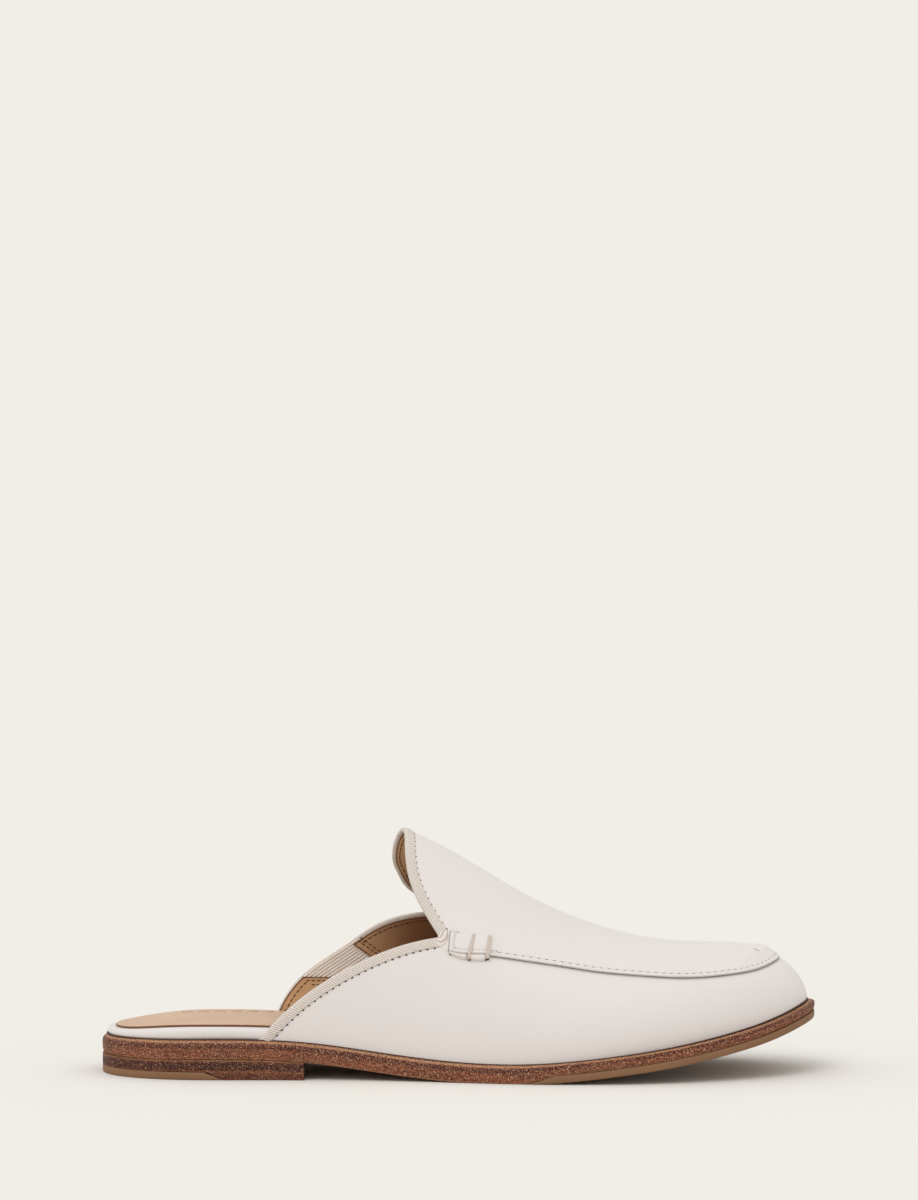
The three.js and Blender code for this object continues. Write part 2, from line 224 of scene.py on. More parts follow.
def sole_bottom(x):
    """Height of the sole's underside: the seat less the sole's thickness, not below the floor."""
    return np.maximum(seat(x) - SOLE_THICKNESS, 0)


PLACES = np.linspace(0, TOE, 4001)
PLACE_X = OUTLINE(PLACES)[:, 0]


def place_at(x):
    """The place whose edge point lies at x."""
    return np.interp(x, PLACE_X, PLACES)


def skin(place, around):
    """A point of the last. A rib is a quarter superellipse from the feather edge to the crest,
    in polar form: at the angle r it reaches (cos^n r + sin^n r)^(-1/n). The plan point moves
    from the crest towards the foot by that reach times cos r, drawn in by the lean, and swells
    outward by the belly; the height goes from the seat to the ridge by the reach times sin r."""
    place, around = np.broadcast_arrays(np.asarray(place, float), np.asarray(around, float))
    inner = around > 1
    at = np.where(inner, LOOP - place, place)
    rise = np.where(inner, 2 - around, around) * (math.pi / 2)
    foot, out = edge_point(at, FEATHER_INSET)
    last = last_at(foot[..., 0])
    x = foot[..., 0]
    start = 2 * RIDGE_END - TOE_X
    u = np.clip((x - start) / (TOE_X - start), 0, 1)
    crest_x = np.where(x < start, x, start + (RIDGE_END - start) * (2 * u - u * u))
    crest = np.stack([crest_x, last_at(crest_x)[..., SHIFT]], -1)
    side = step_up(at, TOE - TOE_TURN / 2, TOE + TOE_TURN / 2)
    square, belly = (last[..., k] * (1 - side) + last[..., k + 1] * side for k in (SQUARE, BELLY))
    cos, sin = np.maximum(np.cos(rise), 0), np.sin(rise)
    reach = (cos**square + np.abs(sin) ** square) ** (-1 / square)
    up = reach * sin
    outward = reach * cos * (1 - last[..., LEAN] * up)
    swell = 27 / 4 * up * (1 - up) ** 2
    plan = foot + (1 - outward)[..., None] * (crest - foot) + out * (belly * swell)[..., None]
    ridge = INSTEP_HEIGHT * last_at(plan[..., 0])[..., RIDGE]
    low = HEEL_HEIGHT * last[..., SEAT]
    return np.concatenate([plan, (low + (ridge - low) * up)[..., None]], -1)


def slopes_at(place, around):
    """How the skin's point moves with place and with the way around."""
    along = (skin(place + STEP, around) - skin(place - STEP, around)) / (2 * STEP)
    over = (skin(place, around + STEP) - skin(place, around - STEP)) / (2 * STEP)
    return along, over


def leather(place, around, offset):
    """The skin moved along its own normal by the offset."""
    along, over = slopes_at(place, around)
    return skin(place, around) + unit(np.cross(along, over)) * np.asarray(offset, float)[..., None]


def walk(place, around, shift):
    """The place and way around of the skin point nearest to a point moved by shift, found by
    a few rounds of least squares in the skin's two slopes."""
    target = skin(place, around) + shift
    place, around = (np.array(a, float) for a in np.broadcast_arrays(place, around))
    for _ in range(WALK_ROUNDS):
        along, over = slopes_at(place, around)
        miss = target - skin(place, around)
        aa, ab, bb = ((p * q).sum(-1) for p, q in ((along, along), (along, over), (over, over)))
        ma, mb = (miss * along).sum(-1), (miss * over).sum(-1)
        det = aa * bb - ab * ab
        place = place + (bb * ma - ab * mb) / det
        around = around + (aa * mb - ab * ma) / det
    return place, around


def side_point(x, z):
    """The place and way around of the inner side's skin point that has this x and z."""
    place, around = place_at(x), np.full(np.shape(x), WING_AROUND)
    for _ in range(ROUNDS):
        along, over = slopes_at(place, around)
        miss = np.stack([x, z], -1) - skin(place, around)[..., [0, 2]]
        a, b, c, d = along[..., 0], over[..., 0], along[..., 2], over[..., 2]
        det = a * d - b * c
        place = place + (d * miss[..., 0] - b * miss[..., 1]) / det
        around = around + (a * miss[..., 1] - c * miss[..., 0]) / det
    return place, around


class Path:
    """A line on the skin, by its length in millimetres."""

    def __init__(self, place, around, soften=0.0):
        self.set(place, around)
        if soften:
            pace = 0.1
            s = np.arange(0, self.length, pace)
            rows = np.c_[self.at(s)]
            reach = int(soften / pace)
            bell = np.hanning(2 * reach + 3)[1:-1]
            padded = np.concatenate([
                2 * rows[0] - rows[reach:0:-1], rows, 2 * rows[-1] - rows[-2:-reach - 2:-1],
            ])
            eased = [np.convolve(c, bell / bell.sum(), "valid") for c in padded.T]
            self.set(*eased)

    def set(self, place, around):
        points = skin(place, around)
        steps = np.linalg.norm(np.diff(points, axis=0), axis=1)
        self.s = np.r_[0, np.cumsum(steps)]
        self.place, self.around, self.length = place, around, self.s[-1]

    def at(self, s):
        """The place and way around at a length along the line."""
        return np.interp(s, self.s, self.place), np.interp(s, self.s, self.around)

    def beside(self, s, reach):
        """The place and way around of points at that reach to the right of the line."""
        s, reach = np.broadcast_arrays(np.asarray(s, float), np.asarray(reach, float))
        place, around = self.at(s)
        ahead, behind = self.at(s + LOOK), self.at(s - LOOK)
        way = unit(skin(*ahead) - skin(*behind))
        normal = unit(np.cross(*slopes_at(place, around)))
        return walk(place, around, unit(np.cross(way, normal)) * reach[..., None])

    def points(self, s, reach, offset):
        """Points beside the line, raised over the skin by the offset."""
        return leather(*self.beside(s, reach), offset)


def top_line():
    """The top line: its three curves joined, with its two notches eased to a small radius."""
    curves = (OUTER_WING, TONGUE, INNER_WING)
    rows = np.concatenate([Smooth(c)(np.linspace(0, len(c) - 1, 500)) for c in curves])
    return Path(place_at(rows[:, 1]), rows[:, 0], soften=1.6)


TOP = top_line()


def where_x(path, x, side):
    """The length along the top line at which it passes x on the outer (0) or inner (1) wing."""
    points = skin(path.place, path.around)
    notch = np.argmin(np.abs(path.around - (OUTER_WING[-1, 0] if side == 0 else TONGUE[-1, 0])))
    part = slice(0, notch) if side == 0 else slice(notch, None)
    order = np.argsort(points[part, 0])
    return np.interp(x, points[part, 0][order], path.s[part][order])


SEAM_ROWS = Smooth(APRON_SEAM)(np.linspace(0, len(APRON_SEAM) - 1, 800))


def seam_around(place):
    """The way around of the outer seam at a place."""
    return np.interp(place, SEAM_ROWS[:, 0], SEAM_ROWS[:, 1])


SEAM = Path(
    np.r_[SEAM_ROWS[:, 0], SEAM_ROWS[::-1, 0]], np.r_[SEAM_ROWS[:, 1], 2 - SEAM_ROWS[::-1, 1]]
)
SEAM_POINTS = skin(*SEAM.at(np.linspace(0, SEAM.length, 700)))


def from_seam(points):
    """How far each point lies from the apron's seam."""
    flat = points.reshape(-1, 3)
    parts = np.array_split(flat, max(1, len(flat) // 3000))
    near = [np.sqrt(((p[:, None] - SEAM_POINTS) ** 2).sum(-1).min(1)) for p in parts]
    return np.concatenate(near).reshape(points.shape[:-1])


# ---------- Meshes ----------
WELD_REACH = 0.004
SHARP_DEGREES = 40.0
CORD_SIDES = 8


def quads_of(rows, columns, closed_rows=False, closed_columns=False):
    """The corner numbers of the quads between a grid's neighbouring rows and columns."""
    i = np.arange(rows if closed_rows else rows - 1)
    j = np.arange(columns if closed_columns else columns - 1)
    i, j = (g.ravel() for g in np.meshgrid(i, j, indexing="ij"))
    i2, j2 = (i + 1) % rows, (j + 1) % columns
    return np.stack([i * columns + j, i2 * columns + j, i2 * columns + j2, i * columns + j2], -1)


def gather(sheets):
    """Several grids as one list of points, quads and per-point values."""
    points, faces, values, first = [], [], [], 0
    for sheet in sheets:
        grid = sheet["points"]
        faces.append(first + quads_of(*grid.shape[:2], *sheet.get("closed", (False, False))))
        points.append(grid.reshape(-1, 3))
        values.append({
            key: np.broadcast_to(v, grid.shape[:2] + np.shape(v)[2:]).reshape(-1, *np.shape(v)[2:])
            for key, v in sheet.get("values", {}).items()
        })
        first += len(points[-1])
    merged = {key: np.concatenate([v[key] for v in values]) for key in values[0]}
    return np.concatenate(points), np.concatenate(faces), merged


def weld(points, faces):
    """Joins points that lie within a few microns, and turns quads that lose a corner into
    triangles. Gives the first old point of each new one, each quad and triangle in new
    numbers, and the same faces in old numbers."""
    _, first, number = np.unique(
        np.round(points / WELD_REACH), axis=0, return_index=True, return_inverse=True)
    new = number.ravel()[faces]
    keep = new != np.roll(new, 1, axis=1)
    kept = keep.sum(1)
    crossed = (new[:, 0] == new[:, 2]) | (new[:, 1] == new[:, 3])
    whole, corner = (kept == 4) & ~crossed, (kept == 3) & ~crossed
    triangle = keep[corner]
    return first, [new[whole], new[corner][triangle].reshape(-1, 3)], [
        faces[whole], faces[corner][triangle].reshape(-1, 3)]


def volume(points, groups):
    """The signed volume inside the faces, each cut into a fan of triangles."""
    total = 0.0
    for group in groups:
        for k in range(1, group.shape[1] - 1):
            a, b, c = points[group[:, 0]], points[group[:, k]], points[group[:, k + 1]]
            total += (a * np.cross(b, c)).sum() / 6
    return total


def make_piece(name, points, groups, material, slot, uv=None, values=None,
               sharp=SHARP_DEGREES, replaced=()):
    """A mesh object from points in millimetres and groups of faces, turned outward."""
    mirror = volume(points, groups) < 0
    groups = [g[:, ::-1] if mirror else g for g in groups]
    mesh = bpy.data.meshes.new(name)
    mesh.from_pydata((points * MM).tolist(), [], [f for g in groups for f in g.tolist()])
    if uv is not None:
        corners = np.concatenate([(u[:, ::-1] if mirror else u).reshape(-1, 2) for u in uv])
        mesh.uv_layers.new(name="Cloth").data.foreach_set("uv", corners.ravel())
    for key, value in (values or {}).items():
        attribute = mesh.attributes.new(key, "FLOAT", "POINT")
        attribute.data.foreach_set("value", value.astype(np.float32))
    mesh.materials.append(material)
    mesh.shade_smooth()
    if sharp:
        mesh.set_sharp_from_angle(angle=math.radians(sharp))
    piece = bpy.data.objects.new(name, mesh)
    bpy.context.scene.collection.objects.link(piece)
    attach(piece, BODY)
    if replaced:
        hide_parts(*replaced)
    return piece


def closed_piece(name, sheets, material, slot, **options):
    """A piece whose grids already close on themselves."""
    points, faces, values = gather(sheets)
    first, groups, old = weld(points, faces)
    uv = values.pop("uv", None)
    options["uv"] = None if uv is None else [uv[o] for o in old]
    return make_piece(
        name, points[first], groups, material, slot,
        values={k: v[first] for k, v in values.items()}, **options,
    )


def shell_piece(name, sheets, material, slot, **options):
    """A wall between two layers of the same grids: the first layer's faces, the second's
    turned over, and a strip along every edge that only one face has."""
    points, faces, values = gather(sheets)
    back = values.pop("back")
    first, groups, old = weld(points, faces)
    uv = values.pop("uv", None)
    count = len(first)
    edges = np.concatenate([np.stack([g, np.roll(g, -1, 1)], -1).reshape(-1, 2) for g in groups])
    code = np.sort(edges, 1) @ np.array([count, 1])
    _, where, times = np.unique(code, return_index=True, return_counts=True)
    rim = edges[where[times == 1]]
    wall = np.stack([rim[:, 1], rim[:, 0], rim[:, 0] + count, rim[:, 1] + count], -1)
    all_groups = groups + [g[:, ::-1] + count for g in groups] + [wall]
    all_uv = None
    if uv is not None:
        all_uv = [uv[o] for o in old] + [uv[o][:, ::-1] for o in old]
        all_uv.append(uv[first][rim[:, [1, 0, 0, 1]]])
    both = np.concatenate([points[first], back[first]])
    doubled = {k: np.concatenate([v[first], v[first]]) for k, v in values.items()}
    return make_piece(name, both, all_groups, material, slot, uv=all_uv, values=doubled, **options)


def swept(name, sections, material, slot, uv=None, values=None, closed=False, **options):
    """A closed profile carried along a path: a row of points for each section, and, unless the
    path closes on itself, a flat cap drawn to the middle of each end section."""
    rows = sections if closed else np.concatenate([
        np.broadcast_to(sections[:1].mean(1, keepdims=True), sections[:1].shape), sections,
        np.broadcast_to(sections[-1:].mean(1, keepdims=True), sections[-1:].shape),
    ])
    pad = (lambda v: v) if closed else (lambda v: np.concatenate([v[:1], v, v[-1:]]))
    given = {k: pad(np.broadcast_to(v, sections.shape[:2])) for k, v in (values or {}).items()}
    if uv is not None:
        given["uv"] = pad(uv)
    sheet = {"points": rows, "closed": (closed, True), "values": given}
    return closed_piece(name, [sheet], material, slot, **options)


def cord(middle, up, radius):
    """A closed tube of eight sides round a line of points, with its ends drawn to a point."""
    cos, sin = (part[:, None] for part in ring(CORD_SIDES))
    across = np.cross(unit(np.gradient(middle, axis=0)), up)
    rows = middle[:, None] + radius * (cos * across[:, None] + sin * up[:, None])
    ends = np.broadcast_to(middle[:, None], rows.shape)
    return {"points": np.concatenate([ends[:1], rows, ends[-1:]]), "closed": (False, True)}


def beads(name, groups, material, slot, rings=4, sides=6, **options):
    """Rows of small lozenges such as stitches. Each has a middle, a way, an up direction and a
    size (length, width, height): its surface is the ellipsoid's, squared off along the way."""
    cos, sin = ring(sides)
    rise = np.linspace(0, math.pi, rings + 2)
    along = -np.sign(np.cos(rise)) * np.abs(np.cos(rise)) ** 0.7
    girth = np.sin(rise) ** 0.6
    girth[0] = girth[-1] = 0
    shape = np.stack(
        [along[:, None] + 0 * cos, girth[:, None] * cos, girth[:, None] * sin], -1)
    points, faces, first = [], [], 0
    grid = quads_of(rings + 2, sides, closed_columns=True)
    for middle, way, up, size in groups:
        way = unit(way)
        side = unit(np.cross(up, way))
        up = np.cross(way, side)
        size = np.asarray(size, float) / 2
        block = middle[:, None, None] + sum(
            shape[..., k, None] * size[k] * axis[:, None, None]
            for k, axis in enumerate((way, side, up))
        )
        points.append(block.reshape(-1, 3))
        starts = first + np.arange(len(middle)) * shape[..., 0].size
        faces.append((starts[:, None, None] + grid).reshape(-1, 4))
        first += block[..., 0].size
    points, faces = np.concatenate(points), np.concatenate(faces)
    first, groups, _ = weld(points, faces)
    return make_piece(name, points[first], groups, material, slot, sharp=None, **options)


def path_row(path, s, reach, offset, size, slant=0.0):
    """A row of lozenges on a line beside a path, for beads()."""
    s = np.asarray(s, float)
    middle = path.points(s, reach, offset)
    ahead, behind = (path.points(s + d, reach + d * slant, offset) for d in (0.2, -0.2))
    way = ahead - behind
    normal = unit(np.cross(*slopes_at(*path.beside(s, reach))))
    return middle, way, normal, size


# ---------- Materials ----------


def connect(tree, sockets, inputs):
    """Gives each socket its value, or links it where the value is a socket itself."""
    for key, value in inputs.items():
        if isinstance(value, bpy.types.NodeSocket):
            tree.links.new(value, sockets[key])
        else:
            sockets[key].default_value = value


def add(tree, kind, inputs=None, **settings):
    """A node with its settings, and inputs that are values or sockets to link."""
    node = tree.nodes.new(kind)
    for key, value in settings.items():
        setattr(node, key, value)
    connect(tree, node.inputs, inputs or {})
    return node


def maths(tree, operation, a, b=0.0, c=0.0):
    return add(tree, "ShaderNodeMath", {0: a, 1: b, 2: c}, operation=operation).outputs[0]


def blend(tree, factor, a, b):
    inputs = {"Factor": factor, 6: a, 7: b}
    return add(tree, "ShaderNodeMix", inputs, data_type="RGBA").outputs[2]


def product(tree, a, b):
    """The product of two values or sockets."""
    return maths(tree, "MULTIPLY", a, b)


def ramp(tree, factor, low, high, to_low=0.0, to_high=1.0):
    node = add(tree, "ShaderNodeMapRange", {
        "Value": factor, "From Min": low, "From Max": high, "To Min": to_low, "To Max": to_high,
    }, interpolation_type="SMOOTHSTEP")
    return node.outputs["Result"]


def noise(tree, coordinates, scale, detail=3.0, roughness=0.5):
    node = add(tree, "ShaderNodeTexNoise", {
        "Vector": coordinates, "Scale": scale, "Detail": detail, "Roughness": roughness,
    })
    return node.outputs["Fac"]


def group(name, inputs, outputs, fill):
    """A shader node group, built once. Inputs are (name, kind, default)."""
    if name in bpy.data.node_groups:
        return bpy.data.node_groups[name]
    tree = bpy.data.node_groups.new(name, "ShaderNodeTree")
    for label, kind, default in inputs:
        socket = tree.interface.new_socket(label, in_out="INPUT", socket_type=kind)
        if default is not None:
            socket.default_value = default
    for label, kind in outputs:
        tree.interface.new_socket(label, in_out="OUTPUT", socket_type=kind)
    entry, end = tree.nodes.new("NodeGroupInput"), tree.nodes.new("NodeGroupOutput")
    for label, socket in fill(tree, entry.outputs).items():
        tree.links.new(socket, end.inputs[label])
    return tree


def placed(tree, node_group, inputs):
    return add(tree, "ShaderNodeGroup", inputs, node_tree=node_group).outputs


FLOAT, VECTOR, COLOUR = "NodeSocketFloat", "NodeSocketVector", "NodeSocketColor"
BAND_BLUR = 0.03


def grain_group():
    """Leather grain: small cells with pinched borders, and finer pores in them."""

    def fill(tree, given):
        cells = add(tree, "ShaderNodeTexVoronoi", {
            "Vector": given["Position"], "Scale": given["Cells"], "Randomness": 1.0,
        }, feature="DISTANCE_TO_EDGE")
        pinch = ramp(tree, cells.outputs["Distance"], 0.0, 0.18)
        pores = noise(tree, given["Position"], product(tree, given["Cells"], 3.1), 2.0)
        soft = noise(tree, given["Position"], product(tree, given["Cells"], 0.35), 3.0)
        height = maths(tree, "MULTIPLY_ADD", pinch, 0.45, product(tree, pores, 0.5))
        return {"Height": maths(tree, "MULTIPLY_ADD", soft, 0.6, height)}

    inputs = [("Position", VECTOR, None), ("Cells", FLOAT, 900.0)]
    return group("Leather grain", inputs, [("Height", FLOAT)], fill)


def mottle_group():
    """Uneven dye: wide clouds and fine specks that mix two tones."""

    def fill(tree, given):
        clouds = noise(tree, given["Position"], given["Cloud Scale"], 4.0, 0.55)
        specks = noise(tree, given["Position"], given["Speck Scale"], 2.0, 0.6)
        cloud = product(tree, ramp(tree, clouds, 0.3, 0.7), given["Clouds"])
        speck = product(tree, ramp(tree, specks, 0.45, 0.7), given["Specks"])
        mask = maths(tree, "MINIMUM", maths(tree, "ADD", cloud, speck), 1.0)
        return {"Colour": blend(tree, mask, given["Tone"], given["Other Tone"])}

    inputs = [
        ("Position", VECTOR, None), ("Cloud Scale", FLOAT, 25.0), ("Speck Scale", FLOAT, 700.0),
        ("Clouds", FLOAT, 0.5), ("Specks", FLOAT, 0.3), ("Tone", COLOUR, None),
        ("Other Tone", COLOUR, None),
    ]
    return group("Mottle", inputs, [("Colour", COLOUR)], fill)


def rib_group():
    """Woven ribs: a wave across the cloth, broken up by the crossing threads."""

    def fill(tree, given):
        split = add(tree, "ShaderNodeSeparateXYZ", {0: given["Place"]}).outputs
        jitter = noise(tree, given["Place"], 1400.0, 2.0)

        def wave(along, pitch, strength):
            phase = product(tree, along, maths(tree, "DIVIDE", 2 * math.pi, given[pitch]))
            return maths(tree, "SINE", maths(tree, "MULTIPLY_ADD", jitter, strength, phase))

        along = maths(tree, "MULTIPLY_ADD", split[1], given["Slant"], split[0])
        height = maths(tree, "MULTIPLY_ADD", wave(along, "Pitch", 0.9), 0.5, 0.5)
        threads = wave(split[1], "Cross Pitch", 1.4)
        fine = maths(tree, "MULTIPLY_ADD", threads, 0.18, product(tree, jitter, 0.5))
        # The furrow output is painted shade, dark where the rib's wave is low.
        return {"Height": maths(tree, "ADD", height, fine), "Furrow": ramp(tree, height, 0.5, 0.0)}

    inputs = [("Place", VECTOR, None), ("Pitch", FLOAT, 0.001), ("Cross Pitch", FLOAT, 0.0005),
              ("Slant", FLOAT, 0.3)]
    return group("Woven ribs", inputs, [("Height", FLOAT), ("Furrow", FLOAT)], fill)


def tone(colour, factor=1.0):
    """A colour with alpha, lightened or darkened by a factor."""
    return (*[min(1.0, c * factor) for c in colour], 1.0)


def mottled(tree, position, colour, second, cloud_scale, speck_scale, clouds, specks):
    """A colour clouded and specked with a second tone of it, by that factor."""
    return placed(tree, mottle_group(), {
        "Position": position, "Cloud Scale": cloud_scale, "Speck Scale": speck_scale,
        "Clouds": clouds, "Specks": specks, "Tone": tone(colour),
        "Other Tone": tone(colour, second),
    })["Colour"]


def grained(tree, position, cells):
    return placed(tree, grain_group(), {"Position": position, "Cells": cells})["Height"]


def finish(name, fill, sheen=0.0, specular=0.5):
    """A material: its shader, and what fill links to it."""
    material = bpy.data.materials.new(name)
    material.use_nodes = True
    tree = material.node_tree
    tree.nodes.clear()
    end = tree.nodes.new("ShaderNodeOutputMaterial")
    shader = add(tree, "ShaderNodeBsdfPrincipled", {"Specular IOR Level": specular})
    if sheen:
        shader.inputs["Sheen Weight"].default_value = sheen
        shader.inputs["Sheen Roughness"].default_value = 0.5
    tree.links.new(shader.outputs[0], end.inputs[0])
    position = add(tree, "ShaderNodeTexCoord").outputs["Object"]
    connect(tree, shader.inputs, fill(tree, position))
    return material


def bump(tree, height, distance, strength, normal=None):
    inputs = {"Height": height, "Distance": distance, "Strength": strength}
    if normal is not None:
        inputs["Normal"] = normal
    return add(tree, "ShaderNodeBump", inputs).outputs[0]


def white_leather(name, colour):
    """Smooth, fine-grained leather over a barely uneven ground."""

    def fill(tree, position):
        grain = grained(tree, position, 1100.0)
        swell = bump(tree, noise(tree, position, 70.0, 2.0), 0.0004, 0.35)
        return {
            "Base Color": mottled(tree, position, colour, 0.965, 22.0, 1500.0, 0.5, 0.25),
            "Roughness": ramp(tree, grain, 0.2, 1.2, 0.58, 0.46),
            "Normal": bump(tree, grain, 0.00006, 0.5, swell),
        }

    return finish(name, fill, specular=0.4)


# Where the lining's tone goes over to its painted shade inside the shoe, in metres along and up.
PAINTED_SHADE_REACH = (-0.046, -0.014)
PAINTED_SHADE_TOP = (0.092, 0.054)


def tan_leather(name, colour, dark, shade=None):
    """Lining leather: clouded tan with a raw, darker cut edge where the edge value is low. Given
    a shade, the tone goes over to it as painted shade inside the shoe, from the middle of the
    shoe to the toe and lower down."""

    def fill(tree, position):
        grain = grained(tree, position, 1500.0)
        surface = mottled(tree, position, colour, 0.86, 60.0, 1900.0, 0.55, 0.35)
        if shade:
            split = add(tree, "ShaderNodeSeparateXYZ", {0: position}).outputs
            # Painted shade inside the shoe: darker towards the toe and lower down.
            inward = ramp(tree, split[0], *PAINTED_SHADE_REACH)
            painted_shade_mask = product(tree, inward, ramp(tree, split[2], *PAINTED_SHADE_TOP))
            surface = blend(tree, painted_shade_mask, surface, tone(shade))
        edge = add(tree, "ShaderNodeAttribute", attribute_name="edge").outputs["Fac"]
        wobble = maths(tree, "MULTIPLY_ADD", noise(tree, position, 900.0), 0.5, edge)
        return {
            "Base Color": blend(tree, ramp(tree, wobble, 1.05, 0.5), surface, tone(dark)),
            "Roughness": ramp(tree, grain, 0.2, 1.2, 0.72, 0.6),
            "Normal": bump(tree, grain, 0.00005, 0.6),
        }

    return finish(name, fill, specular=0.3, sheen=0.08)


def ribbed_cloth(name, colour, dark, pitch, cross, slant, depth):
    """Woven cloth, with painted shade darkening the furrows between its ribs."""

    def fill(tree, position):
        place = add(tree, "ShaderNodeUVMap", uv_map="Cloth").outputs[0]
        ribs = placed(tree, rib_group(), {
            "Place": place, "Pitch": pitch, "Cross Pitch": cross, "Slant": slant,
        })
        surface = mottled(tree, position, colour, 0.93, 90.0, 2200.0, 0.3, 0.5)
        return {
            "Base Color": blend(tree, product(tree, ribs["Furrow"], 0.75), surface, tone(dark)),
            "Roughness": 0.85,
            "Normal": bump(tree, ribs["Height"], depth, 0.8),
        }

    return finish(name, fill, specular=0.2, sheen=0.15)


def sole_edge(name, light, middle, dark, bands):
    """Sanded leather edge: long fibres that run along the sole, dark flecks pressed into them,
    and bands by height, each (low, high, tone, strength)."""

    def fill(tree, position):
        stretched = add(tree, "ShaderNodeMapping", {
            "Vector": position, "Scale": (0.25, 0.25, 1.0),
        }).outputs[0]
        fibres = noise(tree, stretched, 1500.0, 3.0, 0.6)
        sanding = noise(tree, position, 1750.0, 1.0, 0.6)
        grit = noise(tree, position, 2400.0, 1.0, 0.6)
        clouds = noise(tree, stretched, 260.0, 3.0)
        band = add(tree, "ShaderNodeAttribute", attribute_name="band").outputs["Fac"]
        base = blend(tree, ramp(tree, clouds, 0.35, 0.68), tone(middle, 0.72), tone(middle, 1.15))

        layers = [(ramp(tree, fibres, 0.5, 0.68), 0.3, tone(light, 0.8))]
        for low, high, shade, strength in bands:
            rising = ramp(tree, band, low - BAND_BLUR, low + BAND_BLUR)
            falling = ramp(tree, band, high + BAND_BLUR, high - BAND_BLUR)
            layers.append((product(tree, rising, falling), strength, tone(shade)))
        layers.append((ramp(tree, sanding, 0.48, 0.36), 0.75, tone(dark)))
        layers.append((ramp(tree, grit, 0.54, 0.7), 0.8, tone(light)))
        for mask, strength, shade in layers:
            base = blend(tree, product(tree, mask, strength), base, shade)
        return {
            "Base Color": base,
            "Roughness": ramp(tree, fibres, 0.3, 0.7, 0.62, 0.8),
            "Normal": bump(tree, maths(tree, "MULTIPLY_ADD", sanding, 0.8, fibres), 0.00018, 0.7),
        }

    return finish(name, fill, specular=0.3)


def rubber(name, colour):
    """Dull, faintly rough rubber."""

    def fill(tree, position):
        return {
            "Base Color": mottled(tree, position, colour, 0.8, 60.0, 1300.0, 0.5, 0.5),
            "Roughness": 0.7,
            "Normal": bump(tree, noise(tree, position, 1800.0, 2.0), 0.00008, 0.6),
        }

    return finish(name, fill, specular=0.35)


def thread(name, colour, dark):
    """Sewing thread, and the dark cords and dots of painted shade: a slanting wave of tone across
    the object's own position.
    """

    def fill(tree, position):
        twist = add(tree, "ShaderNodeTexWave", {
            "Vector": position, "Scale": 900.0, "Distortion": 1.0, "Detail": 1.0,
        }, wave_type="BANDS", bands_direction="DIAGONAL").outputs["Fac"]
        return {
            "Base Color": blend(tree, product(tree, twist, 0.5), tone(colour), tone(dark)),
            "Roughness": 0.75,
            "Normal": bump(tree, twist, 0.00005, 0.5),
        }

    return finish(name, fill, specular=0.25)


# ---------- The user's sizes and colours ----------


def length_property(name, description, default_mm, low=0.1, high=50.0):
    return bpy.props.FloatProperty(
        name=name, description=description, default=default_mm * MM, min=low * MM, max=high * MM,
        unit="LENGTH", subtype="DISTANCE", precision=5,
    )


def linear(red, green, blue):
    """A colour given in display steps of 0 to 255, as scene light."""
    steps = np.array([red, green, blue]) / 255
    curve = np.where(steps <= 0.04045, steps / 12.92, ((steps + 0.055) / 1.055) ** 2.4)
    return tuple(float(v) for v in curve)


def colour_property(name, description, red, green, blue):
    return bpy.props.FloatVectorProperty(
        name=name, description=description, subtype="COLOR", size=3, min=0.0, max=1.0,
        default=linear(red, green, blue),
    )


class MULE_PG_sizes(bpy.types.PropertyGroup):
    """Thicknesses and spacings of the shoe's layers."""

    upper_leather: length_property("Upper leather", "Thickness of the outer leather", 0.95)
    lining_leather: length_property("Lining", "Thickness of the lining and what it covers", 1.15)
    apron_edge: length_property("Apron edge", "How far the apron's cut edge stands proud", 0.95)
    binding_width: length_property("Binding width", "Width of the binding on the outer face", 3.75)
    binding_cloth: length_property("Binding cloth", "Thickness of the binding's ribbon", 0.42)
    binding_stitch: length_property("Binding stitch", "Stitch length along the binding", 2.75)
    apron_stitch: length_property("Apron stitch", "Stitch length along the apron", 2.85)
    insole_height: length_property("Insole", "Thickness of the wrapped insole", 4.45)
    sock_height: length_property("Sock", "Thickness of the sock", 0.85)


class MULE_PG_colours(bpy.types.PropertyGroup):
    """Tones of the shoe's materials."""

    leather: colour_property("Leather", "Off-white upper leather", 221, 214, 210)
    binding: colour_property("Binding", "Ribbed binding", 232, 222, 212)
    thread: colour_property("Thread", "Sewing thread of the upper", 222, 212, 202)
    lining: colour_property("Lining", "Tan lining leather", 205, 164, 122)
    brown: colour_property("Brown", "Raw edges and lining thread", 112, 72, 44)
    sock: colour_property("Sock", "Sock leather", 206, 171, 141)
    elastic: colour_property("Elastic", "Ribbed elastic", 240, 230, 220)
    sole: colour_property("Sole", "Stacked leather", 116, 60, 36)
    rubber: colour_property("Rubber", "Olive-tan rubber", 134, 98, 68)


MATERIALS = {}

# The threads, and the dark lines and dots of painted shade: name, tone and second tone.
THREADS_AND_SHADES = {
    "bar": ("Keeper thread", (216, 200, 186), (186, 166, 150)),
    "brown_thread": ("Brown thread", (92, 56, 32), (60, 34, 20)),
    # Stitch hole, welt line, seam hole and seam gap are painted shade in holes, corners, gaps and
    # creases.
    "hole": ("Painted stitch-hole shade", (62, 54, 50), (44, 38, 36)),
    "corner_shade": ("Painted welt shade", (78, 52, 38), (60, 38, 28)),
    "mark": ("Pressed mark", (204, 170, 140), (190, 152, 122)),
    "seam": ("Painted seam shade", (112, 104, 100), (90, 84, 82)),
    "gap": ("Painted gap and crease shade", (112, 112, 114), (96, 96, 98)),
}
